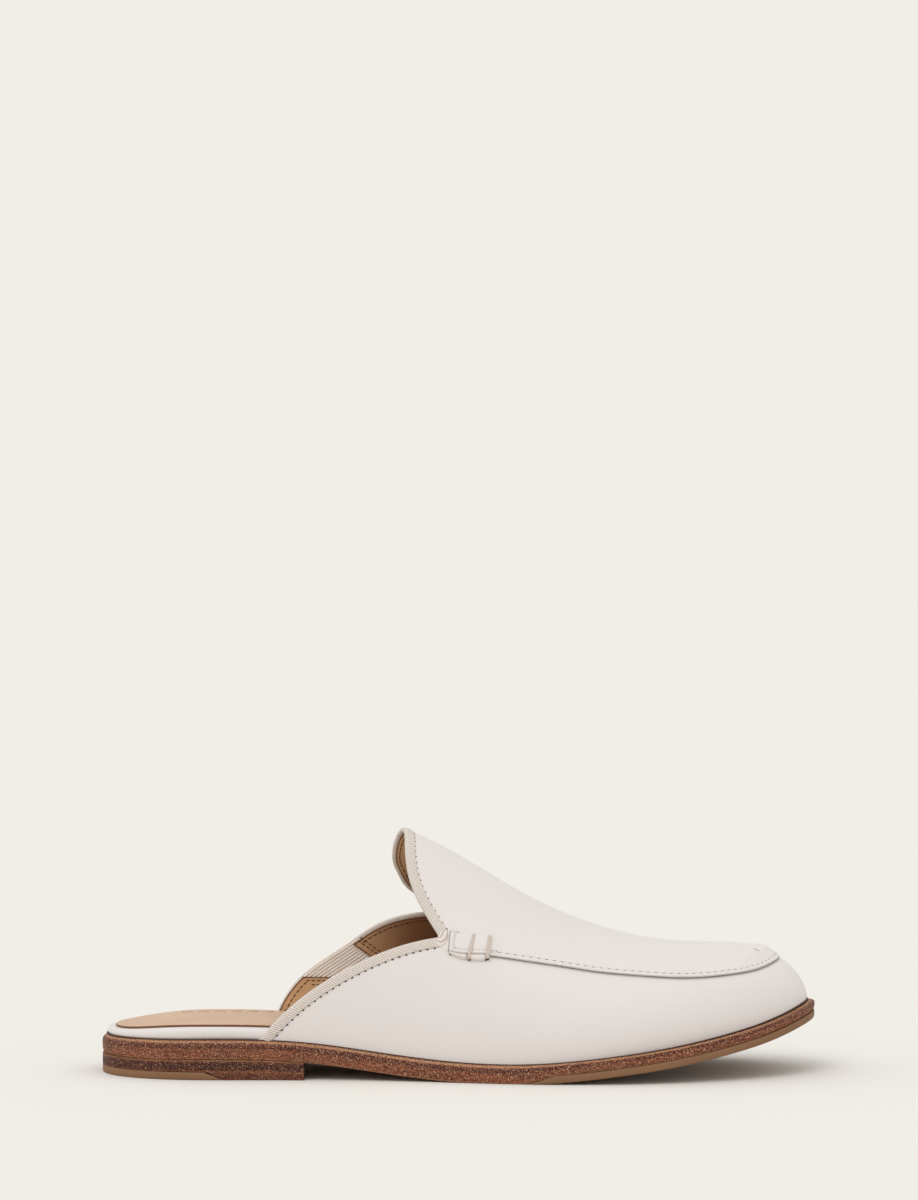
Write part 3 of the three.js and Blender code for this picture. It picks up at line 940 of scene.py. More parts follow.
# Bands up the sole's and the heel's edge: from, to, tone and strength.
SOLE_BANDS = (
    (-0.1, 0.10, (150, 100, 66), 0.6), (0.58, 0.83, (66, 20, 12), 0.7),
    (0.87, 0.975, (176, 130, 94), 0.8), (0.985, 1.1, (62, 34, 22), 0.9),
)
HEEL_BANDS = (
    (0.90, 1.1, (138, 90, 56), 0.6), (0.50, 0.86, (44, 15, 12), 0.75),
    (0.36, 0.44, (136, 86, 54), 0.5), (-0.1, 0.05, (120, 54, 34), 0.6),
)


def materials(context):
    """The shoe's materials, made once from the colours."""
    if MATERIALS:
        return MATERIALS
    c = context.scene.mule_colours
    brown, dark = tuple(c.brown), linear(40, 13, 8)
    soles, heels = (
        [(low, high, linear(*shade), strength) for low, high, shade, strength in bands]
        for bands in (SOLE_BANDS, HEEL_BANDS)
    )
    MATERIALS.update({
        "leather": white_leather("White leather", tuple(c.leather)),
        # The lining's last colour is painted shade, which darkens it inside the shoe towards the
        # toe.
        "lining": tan_leather("Tan lining", tuple(c.lining), brown, linear(126, 84, 52)),
        "sock": tan_leather("Sock leather", tuple(c.sock), brown),
        # The binding's and the elastic's second tones are painted shade in the furrows between the
        # ribs.
        "binding": ribbed_cloth("Binding ribbon", tuple(c.binding), linear(176, 160, 146),
                                RIBBON_PITCH * MM, 0.0005, 0.45, 0.00022),
        "elastic": ribbed_cloth("Elastic", tuple(c.elastic), linear(206, 194, 182),
                                ELASTIC_PITCH * MM, 0.0006, 0.0, 0.00007),
        "thread": thread("White thread", tuple(c.thread), linear(200, 186, 170)),
        "outsole": sole_edge("Sole leather", linear(206, 158, 124), tuple(c.sole), dark, soles),
        "heel": sole_edge("Heel leather", linear(176, 126, 94), linear(88, 42, 26), dark, heels),
        "rubber": rubber("Sole rubber", tuple(c.rubber)),
    })
    for key, (name, shade, second) in THREADS_AND_SHADES.items():
        MATERIALS[key] = thread(name, linear(*shade), linear(*second))
    return MATERIALS


# ---------- The sole ----------


def slab_sections(places, outer_inset, low, high, side, rungs=5):
    """Cross-sections of a slab that follows the outline. Side is the profile of one flank as
    rows of (inset, share of the height); between the flanks the top and the bottom run
    straight across. Gives the points and each one's share of the height."""
    side = np.asarray(side, float)
    flanks = []
    for place in (places, LOOP - places):
        x = OUTLINE(places)[:, 0]
        inset = outer_inset(x[:, None], side[:, 1]) + side[:, 0]
        flat, _ = edge_point(np.broadcast_to(place[:, None], inset.shape), inset)
        bottom, top = low(flat[..., 0]), high(flat[..., 0])
        z = bottom + (top - bottom) * side[:, 1]
        flanks.append(np.concatenate([flat, z[..., None]], -1))
    outer, inner = flanks
    k = np.linspace(0, 1, rungs + 2)[1:-1][:, None]
    top = outer[:, -1:] * (1 - k) + inner[:, -1:] * k
    bottom = inner[:, :1] * (1 - k) + outer[:, :1] * k
    share = side[:, 1]
    share = np.r_[share, np.full(rungs, share[-1]), share[::-1], np.full(rungs, share[0])]
    return np.concatenate([outer, top, inner[:, ::-1], bottom], 1), share


def stations(start, end, count, bunch=True):
    """Places from start to end, closer together at the ends."""
    u = np.linspace(0, 1, count)
    return start + (end - start) * ((1 - np.cos(u * math.pi)) / 2 if bunch else u)


def flat(x, share=None):
    """No inset, and no height."""
    return np.zeros_like(x)


def sole_inset(x, share):
    """The top edge is bevelled further back at the toe and a little at the heel."""
    ends = step_up(x, 88, 126) + 0.5 * (1 - step_up(x, -130, -112))
    return 1.3 * ends * step_up(share, 0.66, 1.0) + 0.5 * ends * (1 - step_up(share, 0.0, 0.3))


def rubber_share(x, least=0.0):
    """How much of its full thickness the forefoot rubber has at x: it runs out at its rear."""
    return np.clip((x - RUBBER_START[0]) / (RUBBER_START[1] - RUBBER_START[0]), least, 1)


# The flanks of the flat pieces: how far in, and the share of the height.
FLANK = (
    (3.2, 0.0), (0.7, 0.0), (0.25, 0.03), (0.05, 0.10), (0.0, 0.22), (-0.08, 0.45), (-0.05, 0.66),
    (0.02, 0.78), (0.22, 0.84), (0.62, 0.905), (1.05, 0.95), (1.5, 0.99), (3.2, 1.0),
)
RUBBER_FLANK = (
    (2.5, 0.0), (0.6, 0.0), (0.2, 0.06), (0.02, 0.25), (0.0, 0.5), (0.04, 0.88), (0.25, 1.0),
    (2.5, 1.0),
)
HEEL_FLANK = (
    (2.5, 0.0), (0.35, 0.0), (0.06, 0.03), (0.0, 0.1), (0.0, 0.3), (0.0, 0.55), (0.1, 0.64),
    (0.1, 0.68), (0.0, 0.76), (0.02, 0.93), (0.3, 1.0), (2.5, 1.0),
)
RIM_FLANK = (
    (3.0, 0.0), (0.9, 0.0), (0.4, 0.05), (0.12, 0.16), (0.0, 0.34), (0.0, 0.52), (0.1, 0.7),
    (0.38, 0.85), (0.85, 0.95), (1.6, 0.99), (2.7, 1.0),
)
SOCK_FLANK = (
    (0.35, 0.0), (0.05, 0.0), (0.0, 0.12), (0.0, 0.72), (0.12, 0.9), (0.4, 1.0), (1.2, 1.0),
    (2.2, 1.0),
)
# How far each row of the sock's flank counts as lying from its cut edge, and the rows between.
SOCK_WEAR, SOCK_RUNGS, SOCK_MIDDLE = (0, 0, 0, 0, 0.3, 0.75, 1.2, 2.0), 9, 3.0
LAYER_GAP = 0.05
TIP_GAP = 0.08


class MULE_OT_outsole(bpy.types.Operator):
    """Leather outsole with a bevelled top edge"""

    bl_idname = "mule.outsole"
    bl_label = "Outsole"

    def execute(self, context):
        def low(x):
            return sole_bottom(x) + RUBBER_THICKNESS * rubber_share(x)

        rows, share = slab_sections(stations(0, TOE, 260), sole_inset, low, seat, FLANK)
        swept("outsole", rows, materials(context)["outsole"], "sole_leather",
              values={"band": share}, replaced=("outsole",))
        return {"FINISHED"}


class MULE_OT_rubbers(bpy.types.Operator):
    """Rubber under the forefoot and the heel's rubber tip"""

    bl_idname = "mule.rubbers"
    bl_label = "Rubber sole parts"

    def execute(self, context):
        def top(x):
            return sole_bottom(x) + (RUBBER_THICKNESS - LAYER_GAP) * rubber_share(x, 0.02)

        def tip_top(x):
            return np.full(np.shape(x), TIP_HEIGHT - TIP_GAP)

        thin, full = place_at(RUBBER_START[0] + 0.4), place_at(RUBBER_START[1])
        places = np.r_[stations(thin, full, 16, False)[:-1], stations(full, TOE, 150)]
        forefoot, _ = slab_sections(places, flat, sole_bottom, top, RUBBER_FLANK)
        places = stations(0, place_at(TIP_FRONT[0]), 90)
        tip, share = slab_sections(places, flat, flat, tip_top, RUBBER_FLANK)
        slant = (TIP_FRONT[1] - TIP_FRONT[0]) * share
        tip[..., 0] += slant * step_up(tip[..., 0], -112, TIP_FRONT[0] - 2)
        for name, rows in (("forefoot_rubber", forefoot), ("heel_tip", tip)):
            swept(name, rows, materials(context)["rubber"], "rubber", replaced=(name,))
        return {"FINISHED"}


class MULE_OT_heel(bpy.types.Operator):
    """Stacked leather heel over the rubber tip"""

    bl_idname = "mule.heel"
    bl_label = "Stacked heel"

    def execute(self, context):
        def low(x):
            return TIP_HEIGHT * (1 - step_up(x, TIP_FRONT[1], TIP_FRONT[0]))

        def top(x):
            return sole_bottom(x) - LAYER_GAP

        front = place_at(TIP_FRONT[1])
        places = np.r_[stations(0, front, 70)[:-1],
                       stations(front, place_at(HEEL_BREAST), 30, False)]
        rows, _ = slab_sections(places, flat, low, top, HEEL_FLANK)
        swept("heel_block", rows, materials(context)["heel"], "sole_leather",
              values={"band": rows[..., 2] / sole_bottom(rows[..., 0])}, replaced=("heel_block",))
        return {"FINISHED"}


RIM_INSET = 1.9
HEEL_ROLL = 1.9
STAMP_ENDS, STAMP_SIDE, STAMP_MARKS = (-101.0, -71.0), 19.0, 6
RIM_DRIFT = (-115, -80, 0.8)
INSIDE_INSET = FEATHER_INSET + 2.5
RIM_STEP = (-72.2, -69.6, INSIDE_INSET - RIM_INSET - RIM_DRIFT[2])
RIM_SLANT = 4.2
WELT_STEP = (-72.5, -69.5)
WELT_TOE = (110, 128)
WELT_SHADE_RADIUS = 0.34


def insole_inset(x, share=0.0):
    """The rim follows the outline at a small inset, and steps in behind the wings' bindings,
    which slant forward with height."""
    x = x - RIM_SLANT * share
    steps = (depth * step_up(x, low, high) for low, high, depth in (RIM_DRIFT, RIM_STEP))
    return RIM_INSET + sum(steps)


def rolled(x):
    """How far the insole's top rolls down at the very back of the heel."""
    return HEEL_ROLL * step_up(-x, 88, 127) ** 2


def welt_shade_rings():
    """Rings of the dark cord of painted shade in the corner above the sole, a little thicker and
    lower at the toe: circles round the outline, moved in to the rim and to the feather edge."""
    half = stations(0, TOE, 200)
    place = np.r_[half[:-1], LOOP - half[::-1][:-1]]
    x = OUTLINE(place)[:, 0]
    inset = RIM_INSET + (FEATHER_INSET - RIM_INSET) * step_up(x, *WELT_STEP)
    spot, out = edge_point(place, inset - 0.1)
    toe = step_up(x, *WELT_TOE)
    middle = np.c_[spot, seat(x) - 0.06 - 0.25 * toe][:, None]
    cos, sin = (part[:, None] for part in ring(6))
    radius = (WELT_SHADE_RADIUS + 0.12 * toe)[:, None, None]
    return middle + radius * (cos * np.c_[out, 0 * x][:, None] + sin * np.array([0, 0, 1.0]))


class MULE_OT_insole(bpy.types.Operator):
    """Insole with a leather-wrapped rim, the sock on top of it and a dark line of painted shade
    below
    """

    bl_idname = "mule.insole"
    bl_label = "Insole and sock"

    def execute(self, context):
        sizes, paint = context.scene.mule_sizes, materials(context)
        thick, sock = sizes.insole_height / MM, sizes.sock_height / MM
        places = np.sort(np.r_[stations(0, TOE, 170), place_at(np.linspace(-75, -62, 34))])

        def top(x):
            return seat(x) + thick - rolled(x)

        def floor(x):
            return seat(x) + thick - LAYER_GAP - rolled(x)

        def sock_top(x):
            return floor(x) + sock

        def inset(x, share):
            return np.maximum(insole_inset(x, 1.0), RIM_INSET + 2.6) + 0.4

        rows, _ = slab_sections(places, insole_inset, seat, top, RIM_FLANK)
        swept("insole_rim", rows, paint["leather"], "white_leather", replaced=("insole",))
        rows, _ = slab_sections(places, inset, floor, sock_top, SOCK_FLANK, rungs=SOCK_RUNGS)
        between = np.full(SOCK_RUNGS, SOCK_MIDDLE)
        near = np.r_[SOCK_WEAR, between, SOCK_WEAR[::-1], 0 * between]
        swept("sock", rows, paint["sock"], "tan_leather", values={"edge": near}, replaced=("sock",))

        x = np.linspace(*STAMP_ENDS, STAMP_MARKS)
        middle = np.stack([x, 0 * x + STAMP_SIDE, sock_top(x)], -1)
        along, upward = middle * 0 + [1, 0, 0], middle * 0 + [0, 0, 1]
        beads("sock_mark", [(middle, along, upward, (4.6, 2.6, 0.7))], paint["mark"],
              "tan_leather", rings=2, sides=4)
        # A dark cord of painted shade in the corner between the upper and the sole.
        swept("welt_shade_line", welt_shade_rings(), paint["corner_shade"], "sole_leather", closed=True, sharp=None)
        return {"FINISHED"}


# ---------- The upper ----------
SINK = 0.006
WINDOW_GAP = 0.8
LINING_GAP, LINING_REAR_GAP, LINING_SHIFT = 1.5, 0.7, 0.5
UPPER_COLUMNS, CUT_COLUMNS = 96, 14
FAR_FROM_CUT = 9.0


def upper_edge(inset, rear_inset, shift):
    """The free edge of the upper's leather, from the outer feather edge to the inner one: the
    top line moved in under the binding, down the window's front edge, back along its sill, and
    down the rear. Gives place and way around of an odd number of points."""
    front = where_x(TOP, WINDOW_FRONT[0][0] - shift, 1)
    back = where_x(TOP, WINDOW_SILL[1][0], 1)
    top = np.c_[TOP.beside(np.linspace(0, front, 190), inset)]
    slanted, sill = np.linspace(*WINDOW_FRONT, 22), np.linspace(*WINDOW_SILL, 34)
    slanted = np.c_[side_point(slanted[:, 0] - shift, slanted[:, 1] - shift)]
    sill = np.c_[side_point(sill[:, 0] - shift * (sill[:, 0] > -57), sill[:, 1] - shift)]
    rear = np.c_[TOP.beside(np.linspace(back, TOP.length, 27), rear_inset)]
    rear = rear[rear[:, 1] > sill[-1, 1] + 0.002]
    slanted = slanted[(slanted[:, 1] > top[-1, 1] + 0.001)]
    edge = np.concatenate([top, slanted, sill[1:], rear])
    edge[0, 1], edge[-1, 1] = -SINK, 2 + SINK
    if len(edge) % 2 == 0:
        edge = np.delete(edge, 60, 0)
    return edge.T


def upper_grid(inset, rear_inset, shift=0.0):
    """Rows that run from the upper's edge to the toe. The ends of each pair of rows that meet
    over the toe take the mean of their ways around, so that the two halves join there."""
    place, around = upper_edge(inset, rear_inset, shift)
    even = (around + 2 - around[::-1]) / 2
    u = np.linspace(0, 1, UPPER_COLUMNS) ** 1.15
    place, around, even = place[:, None], around[:, None], even[:, None]
    return place + (TOE - place) * u, around + (even - around) * u


def from_cut(points):
    """How far each point of the first columns lies from the cut edge, which is column 0."""
    near = points[:, :CUT_COLUMNS].reshape(-1, 1, 3)
    gap = np.full(points.shape[:2], FAR_FROM_CUT)
    least = np.sqrt(((near - points[:, 0]) ** 2).sum(-1).min(1))
    gap[:, :CUT_COLUMNS] = least.reshape(-1, CUT_COLUMNS)
    return gap


class MULE_OT_quarters(bpy.types.Operator):
    """White leather quarters and toe, with the lining behind them"""

    bl_idname = "mule.quarters"
    bl_label = "Quarters and lining"

    def execute(self, context):
        sizes, paint = context.scene.mule_sizes, materials(context)
        wall, lining = sizes.upper_leather / MM, sizes.lining_leather / MM
        place, around = upper_grid(WINDOW_GAP, WINDOW_GAP)
        base = skin(place, around)
        gap = from_seam(base)
        clear = step_up(base[..., 0], -8, 6)
        dip = -(0.4 * hump(gap, 0, 2.6) + 0.35 * hump(gap, 0, 0.9)) * clear
        shell_piece("quarters", [{
            "points": leather(place, around, dip),
            "values": {"back": leather(place, around, np.minimum(dip - 0.3, -wall))},
        }], paint["leather"], "white_leather", replaced=("upper",))

        place, around = upper_grid(LINING_GAP, LINING_REAR_GAP, LINING_SHIFT)
        front = leather(place, around, -wall - 0.06)
        back = leather(place, around, -wall - lining)
        shell_piece("lining", [{
            "points": front, "values": {"back": back, "edge": from_cut(front)},
        }], paint["lining"], "tan_leather")
        return {"FINISHED"}


# The apron's rows beside its seam, in millimetres on an apron of a usual width.
APRON_ROWS = (0, 0.06, 0.14, 0.24, 0.36, 0.5, 0.7, 0.95, 1.15, 1.3, 1.45, 1.6, 1.8, 2.1, 2.6, 3.3,
              4.4, 6.0, 8.0)
APRON_WIDTH = 78
GROOVE_REACH, GROOVE_DEPTH = 1.5, 0.16
EDGE_ROUND = 0.45
CORNER_RISE = 0.75
# The small crease on the toe: its middle, how it slants, and its line on the last, where a dark
# cord of painted shade lies in it.
CREASE_MIDDLE, CREASE_SLANT = (108.9, -5.5), 0.44
CREASE_PLACE, CREASE_AROUND = 9.725, (0.775, 0.69)


def apron_grid():
    """The apron between its two seams: rows run from the top line to the toe, spaced closely
    beside the seams, where the cut edge and its stitch groove are."""
    near = np.array(APRON_ROWS) / APRON_WIDTH
    half = np.r_[near, np.linspace(near[-1], 0.5, 30)[1:-1]]
    across = np.r_[half, 0.5, 1 - half[::-1]]
    edge_place, edge_around = TOP.beside(np.linspace(0, TOP.length, 1200), WINDOW_GAP)
    order = np.argsort(edge_around)
    start = np.full(len(across), APRON_SEAM[0, 0])
    for _ in range(ROUNDS):
        seam = seam_around(start)
        rib = seam + (2 - 2 * seam) * across
        start = np.interp(rib, edge_around[order], edge_place[order])
    u = np.r_[np.linspace(0, 0.05, 9)[:-1], np.linspace(0.05, 1, 170)]
    place = start[:, None] + (TOE - start)[:, None] * u
    seam = seam_around(place)
    return place, seam + (2 - 2 * seam) * across[:, None], (place - start[:, None]) * 24


def apron_top(gap, clear):
    """Height of the apron's face over the skin, highest beside the cut edge."""
    return 0.1 + 0.42 * (1 - step_up(gap, 2.0, 15.0)) * clear


def apron_floor(gap, clear, proud):
    """Foot of the cut edge."""
    return apron_top(gap, clear) - proud * (0.35 + 0.65 * clear)


def apron_level(base, gap, clear, proud):
    """Face with its rounded edge, stitch groove, full toe corner and the crease on the toe."""
    x, y = base[..., 0], base[..., 1]
    groove = GROOVE_DEPTH * hump(gap, GROOVE_REACH, 0.32) * clear
    slanted = x + CREASE_SLANT * (y - CREASE_MIDDLE[1])
    crease = 0.35 * hump(slanted, CREASE_MIDDLE[0], 0.8) * hump(y, CREASE_MIDDLE[1], 2.2)
    corner = CORNER_RISE * hump(gap, 6.0, 2.1) * step_up(x, 97.0, 106.0)
    floor = apron_floor(gap, clear, proud)
    face = apron_top(gap, clear) + corner - groove - crease
    return floor + (face - floor) * domed(gap, EDGE_ROUND)


class MULE_OT_apron(bpy.types.Operator):
    """Apron with a proud, rounded cut edge, a pressed stitch groove and a crease on the toe with a
    cord of painted shade in it
    """

    bl_idname = "mule.apron"
    bl_label = "Apron"

    def execute(self, context):
        paint, proud = materials(context), context.scene.mule_sizes.apron_edge / MM
        place, around, behind = apron_grid()
        base = skin(place, around)
        gap = from_seam(base)
        gap[[0, -1]] = 0
        clear = step_up(behind, 3.0, 9.0)
        outer = leather(place, around, apron_level(base, gap, clear, proud))
        inner = leather(place, around, apron_floor(gap, clear, proud) - 0.15)
        shell_piece("apron", [{"points": outer, "values": {"back": inner}}],
                    paint["leather"], "white_leather")

        # A thin dark cord of painted shade in the crease.
        t = np.linspace(0, 1, 30)
        place = CREASE_PLACE + 0.006 * np.sin(math.pi * t)
        around = CREASE_AROUND[0] + (CREASE_AROUND[1] - CREASE_AROUND[0]) * t
        base = skin(place, around)
        level = apron_level(base, from_seam(base), 1.0, proud) + 0.03
        middle = leather(place, around, level)
        up = unit(leather(place, around, level + 1) - middle)
        closed_piece("toe_crease_shade", [cord(middle, up, 0.12)], paint["gap"], "thread", sharp=None)
        return {"FINISHED"}


ELASTIC_ENDS, ELASTIC_DEPTH = (-17, -64), 21.0


class MULE_OT_elastic(bpy.types.Operator):
    """Ribbed elastic in the window of the inner wing, tucked under the leather around it"""

    bl_idname = "mule.elastic"
    bl_label = "Elastic gore"

    def execute(self, context):
        low, high = (where_x(TOP, x, 1) for x in ELASTIC_ENDS)
        s = np.linspace(low, high, 110)[:, None]
        along, corner = skin(*TOP.at(s))[..., 0], WINDOW_FRONT[0][0]
        start = 0.1 + 3.4 * step_up(along, corner - 0.2, corner + 3)
        reach = start + (ELASTIC_DEPTH - start) * np.linspace(0, 1, 240)[None, :]
        place, around = TOP.beside(s, reach)
        around = np.minimum(around, 1.985)
        rib = 0.13 * np.cos(reach / ELASTIC_PITCH * 2 * math.pi)
        edge = 0.35 * hump(reach, 0.1, 0.3)
        uv = np.stack(np.broadcast_arrays(reach, s), -1) * MM
        shell_piece("gore", [{
            "points": leather(place, around, -0.45 + rib - edge),
            "values": {"back": leather(place, around, -1.5 - rib + edge), "uv": uv},
        }], materials(context)["elastic"], "elastic", replaced=("gore",))
        return {"FINISHED"}


# ---------- Binding, keepers and stitching ----------


def binding_profile(width, cloth, wall):
    """The ribbon's section over the leather's edge, as (reach, offset): up the outer face,
    round the edge, a little way down the inner face to where the lining covers it, then back
    along the ribbon's inside."""
    turn = np.linspace(0, math.pi, 9)
    swell = ((0.84, 0.02), (0.72, 0.04), (0.6, 0.06), (0.48, 0.07), (0.36, 0.06))
    outer = [(width, 0.0), (width - 0.03, cloth * 0.6), (width - 0.2, cloth),
             *((width * share, cloth + rise) for share, rise in swell)]
    depth = wall / 2 + cloth + 0.03
    round_edge = np.c_[0.95 - 0.95 * np.sin(turn), -wall / 2 + depth * np.cos(turn)]
    inner = [(r, -wall - cloth) for r in (1.3, 1.7, 2.1)]
    inside = [(2.1, -wall - 0.05), (WINDOW_GAP + 0.2, -wall + 0.15), (WINDOW_GAP + 0.2, -0.2),
              (width - 0.3, -0.1)]
    return np.concatenate([outer, round_edge, inner, inside]), len(outer) + len(round_edge) + 1


# Sizes of the dark dots of painted shade in the stitch holes on the wings and on the tongue.
WING_HOLE_SHADE, TONGUE_HOLE_SHADE = (1.0, 0.62, 0.5), (0.75, 0.42, 0.3)


def binding_run(low, high, profile, shown):
    """One run of the ribbon along the top line, with a fine rib across it and a slight waver."""
    s = np.arange(low, high, 0.21)[:, None]
    reach, offset = profile[:, 0], profile[:, 1]
    ribs = np.zeros(len(profile))
    ribs[2:shown] = 1
    lift = 0.05 * np.sin((s + 0.45 * reach) * 2 * math.pi / RIBBON_PITCH)
    lift = lift + 0.03 * np.sin(s * 1.7 + reach * 2.1) + 0.025 * np.sin(s * 5.3 - reach * 4.0)
    waver = 1 + 0.012 * np.sin(s * 0.61) + 0.012 * np.sin(s * 2.3)
    place, around = TOP.beside(s, reach * waver)
    sign = np.where(offset > -0.5, 1, -1)
    rows = leather(place, around, offset + sign * lift * ribs)
    across = np.cumsum(np.r_[0, np.linalg.norm(np.diff(profile, axis=0), axis=1)])
    return rows, np.stack(np.broadcast_arrays(s + 0 * reach, across + 0 * s), -1) * MM


class MULE_OT_binding(bpy.types.Operator):
    """Ribbed binding folded over the top line on both sides of the elastic, with its stitches"""

    bl_idname = "mule.binding"
    bl_label = "Binding"

    def execute(self, context):
        sizes, paint = context.scene.mule_sizes, materials(context)
        width, cloth = sizes.binding_width / MM, sizes.binding_cloth / MM
        profile, shown = binding_profile(width, cloth, sizes.upper_leather / MM)
        front = where_x(TOP, WINDOW_FRONT[0][0] - 0.9, 1)
        back = where_x(TOP, WINDOW_SILL[1][0] + 0.9, 1)
        runs = {"binding": (0.1, front), "binding_rear": (back, TOP.length - 0.1)}
        pitch = sizes.binding_stitch / MM
        threads, holes = [], []
        for name, (low, high) in runs.items():
            rows, uv = binding_run(low, high, profile, shown)
            swept(name, rows, paint["binding"], "binding", uv=uv, sharp=None)
            at = np.arange(low + 1.6, high - 0.8, pitch)
            threads.append(path_row(TOP, at, width - 0.1, 0.2, (pitch * 0.75, 0.26, 0.3)))
            wing = TOP.at(at)[1] < TONGUE[0, 0]
            # Dark dots of painted shade in the stitch holes between the stitches.
            for chosen, size in ((at[wing], WING_HOLE_SHADE), (at[~wing], TONGUE_HOLE_SHADE)):
                holes.append(path_row(TOP, chosen + pitch / 2, width + 0.12, 0.12, size, 0.35))
        beads("binding_stitches", threads, paint["thread"], "thread")
        beads("binding_hole_shades", holes, paint["hole"], "thread", rings=2)
        return {"FINISHED"}


# The keepers, as millimetres along the shoe and, from the seam, up (less than 0) and down. A
# bar has its foot's place, how far down it starts and how far it leans for each millimetre up.
KEEPER_ENDS = (-3.6, 11.1)
KEEPER_LEAN = 0.34
KEEPER_TOP = ((-3.6, -7.2), (0.0, -7.7), (6.0, -7.5), (12.0, -7.4))
KEEPER_LIP = ((-3.6, 0.7), (-1.0, 1.2), (2.2, 1.85), (3.5, 1.6), (4.9, 2.15), (7.0, 2.45),
              (9.0, 2.2), (10.3, 1.45), (11.2, 1.0), (12.0, 0.5))
BARS = ((3.6, 2.0, 0.18), (10.2, 1.6, 0.03))
BAR_THREADS, BAR_PITCH, BAR_TOP = 3, 0.3, 7.6
# Dark dots of painted shade in the keeper's holes: place along the shoe and reach from the seam.
KEEPER_HOLE_SHADES = ((-3.2, 0.75), (-0.7, -7.75), (6.0, -7.6), (3.3, 1.95), (3.75, 1.75), (9.8, 1.75),
                (10.5, 1.5))
KEEPER_PITCH = 0.68


def along_seam(x, inner):
    """The length along the apron's seam at which it passes x."""
    half = len(SEAM.place) // 2
    part = slice(half, None) if inner else slice(0, half)
    points = skin(SEAM.place[part], SEAM.around[part])[:, 0]
    order = np.argsort(points)
    return np.interp(x, points[order], SEAM.s[part][order])


def leaned(x, reach):
    """The tab's rear end leans back as it rises; its front end keeps its place."""
    low, high = KEEPER_ENDS
    return x + KEEPER_LEAN * reach * (high - x) / (high - low)


def keeper_points(x, reach, height, inner):
    """Points by place along the shoe, reach from the seam and height over the last."""
    x, reach, height = np.broadcast_arrays(x, reach, height)
    return SEAM.points(along_seam(x, inner), reach, height)


def keeper_cord(x, reach, height, inner, radius):
    """A cord through points given as for keeper_points."""
    middle = keeper_points(x, reach, height, inner)
    return cord(middle, unit(keeper_points(x, reach, height + 1, inner) - middle), radius)


def seam_row(x, reach, height, inner, size):
    """A row of lozenges beside the apron's seam, by place along the shoe."""
    return path_row(SEAM, along_seam(x, inner), reach, height, size)


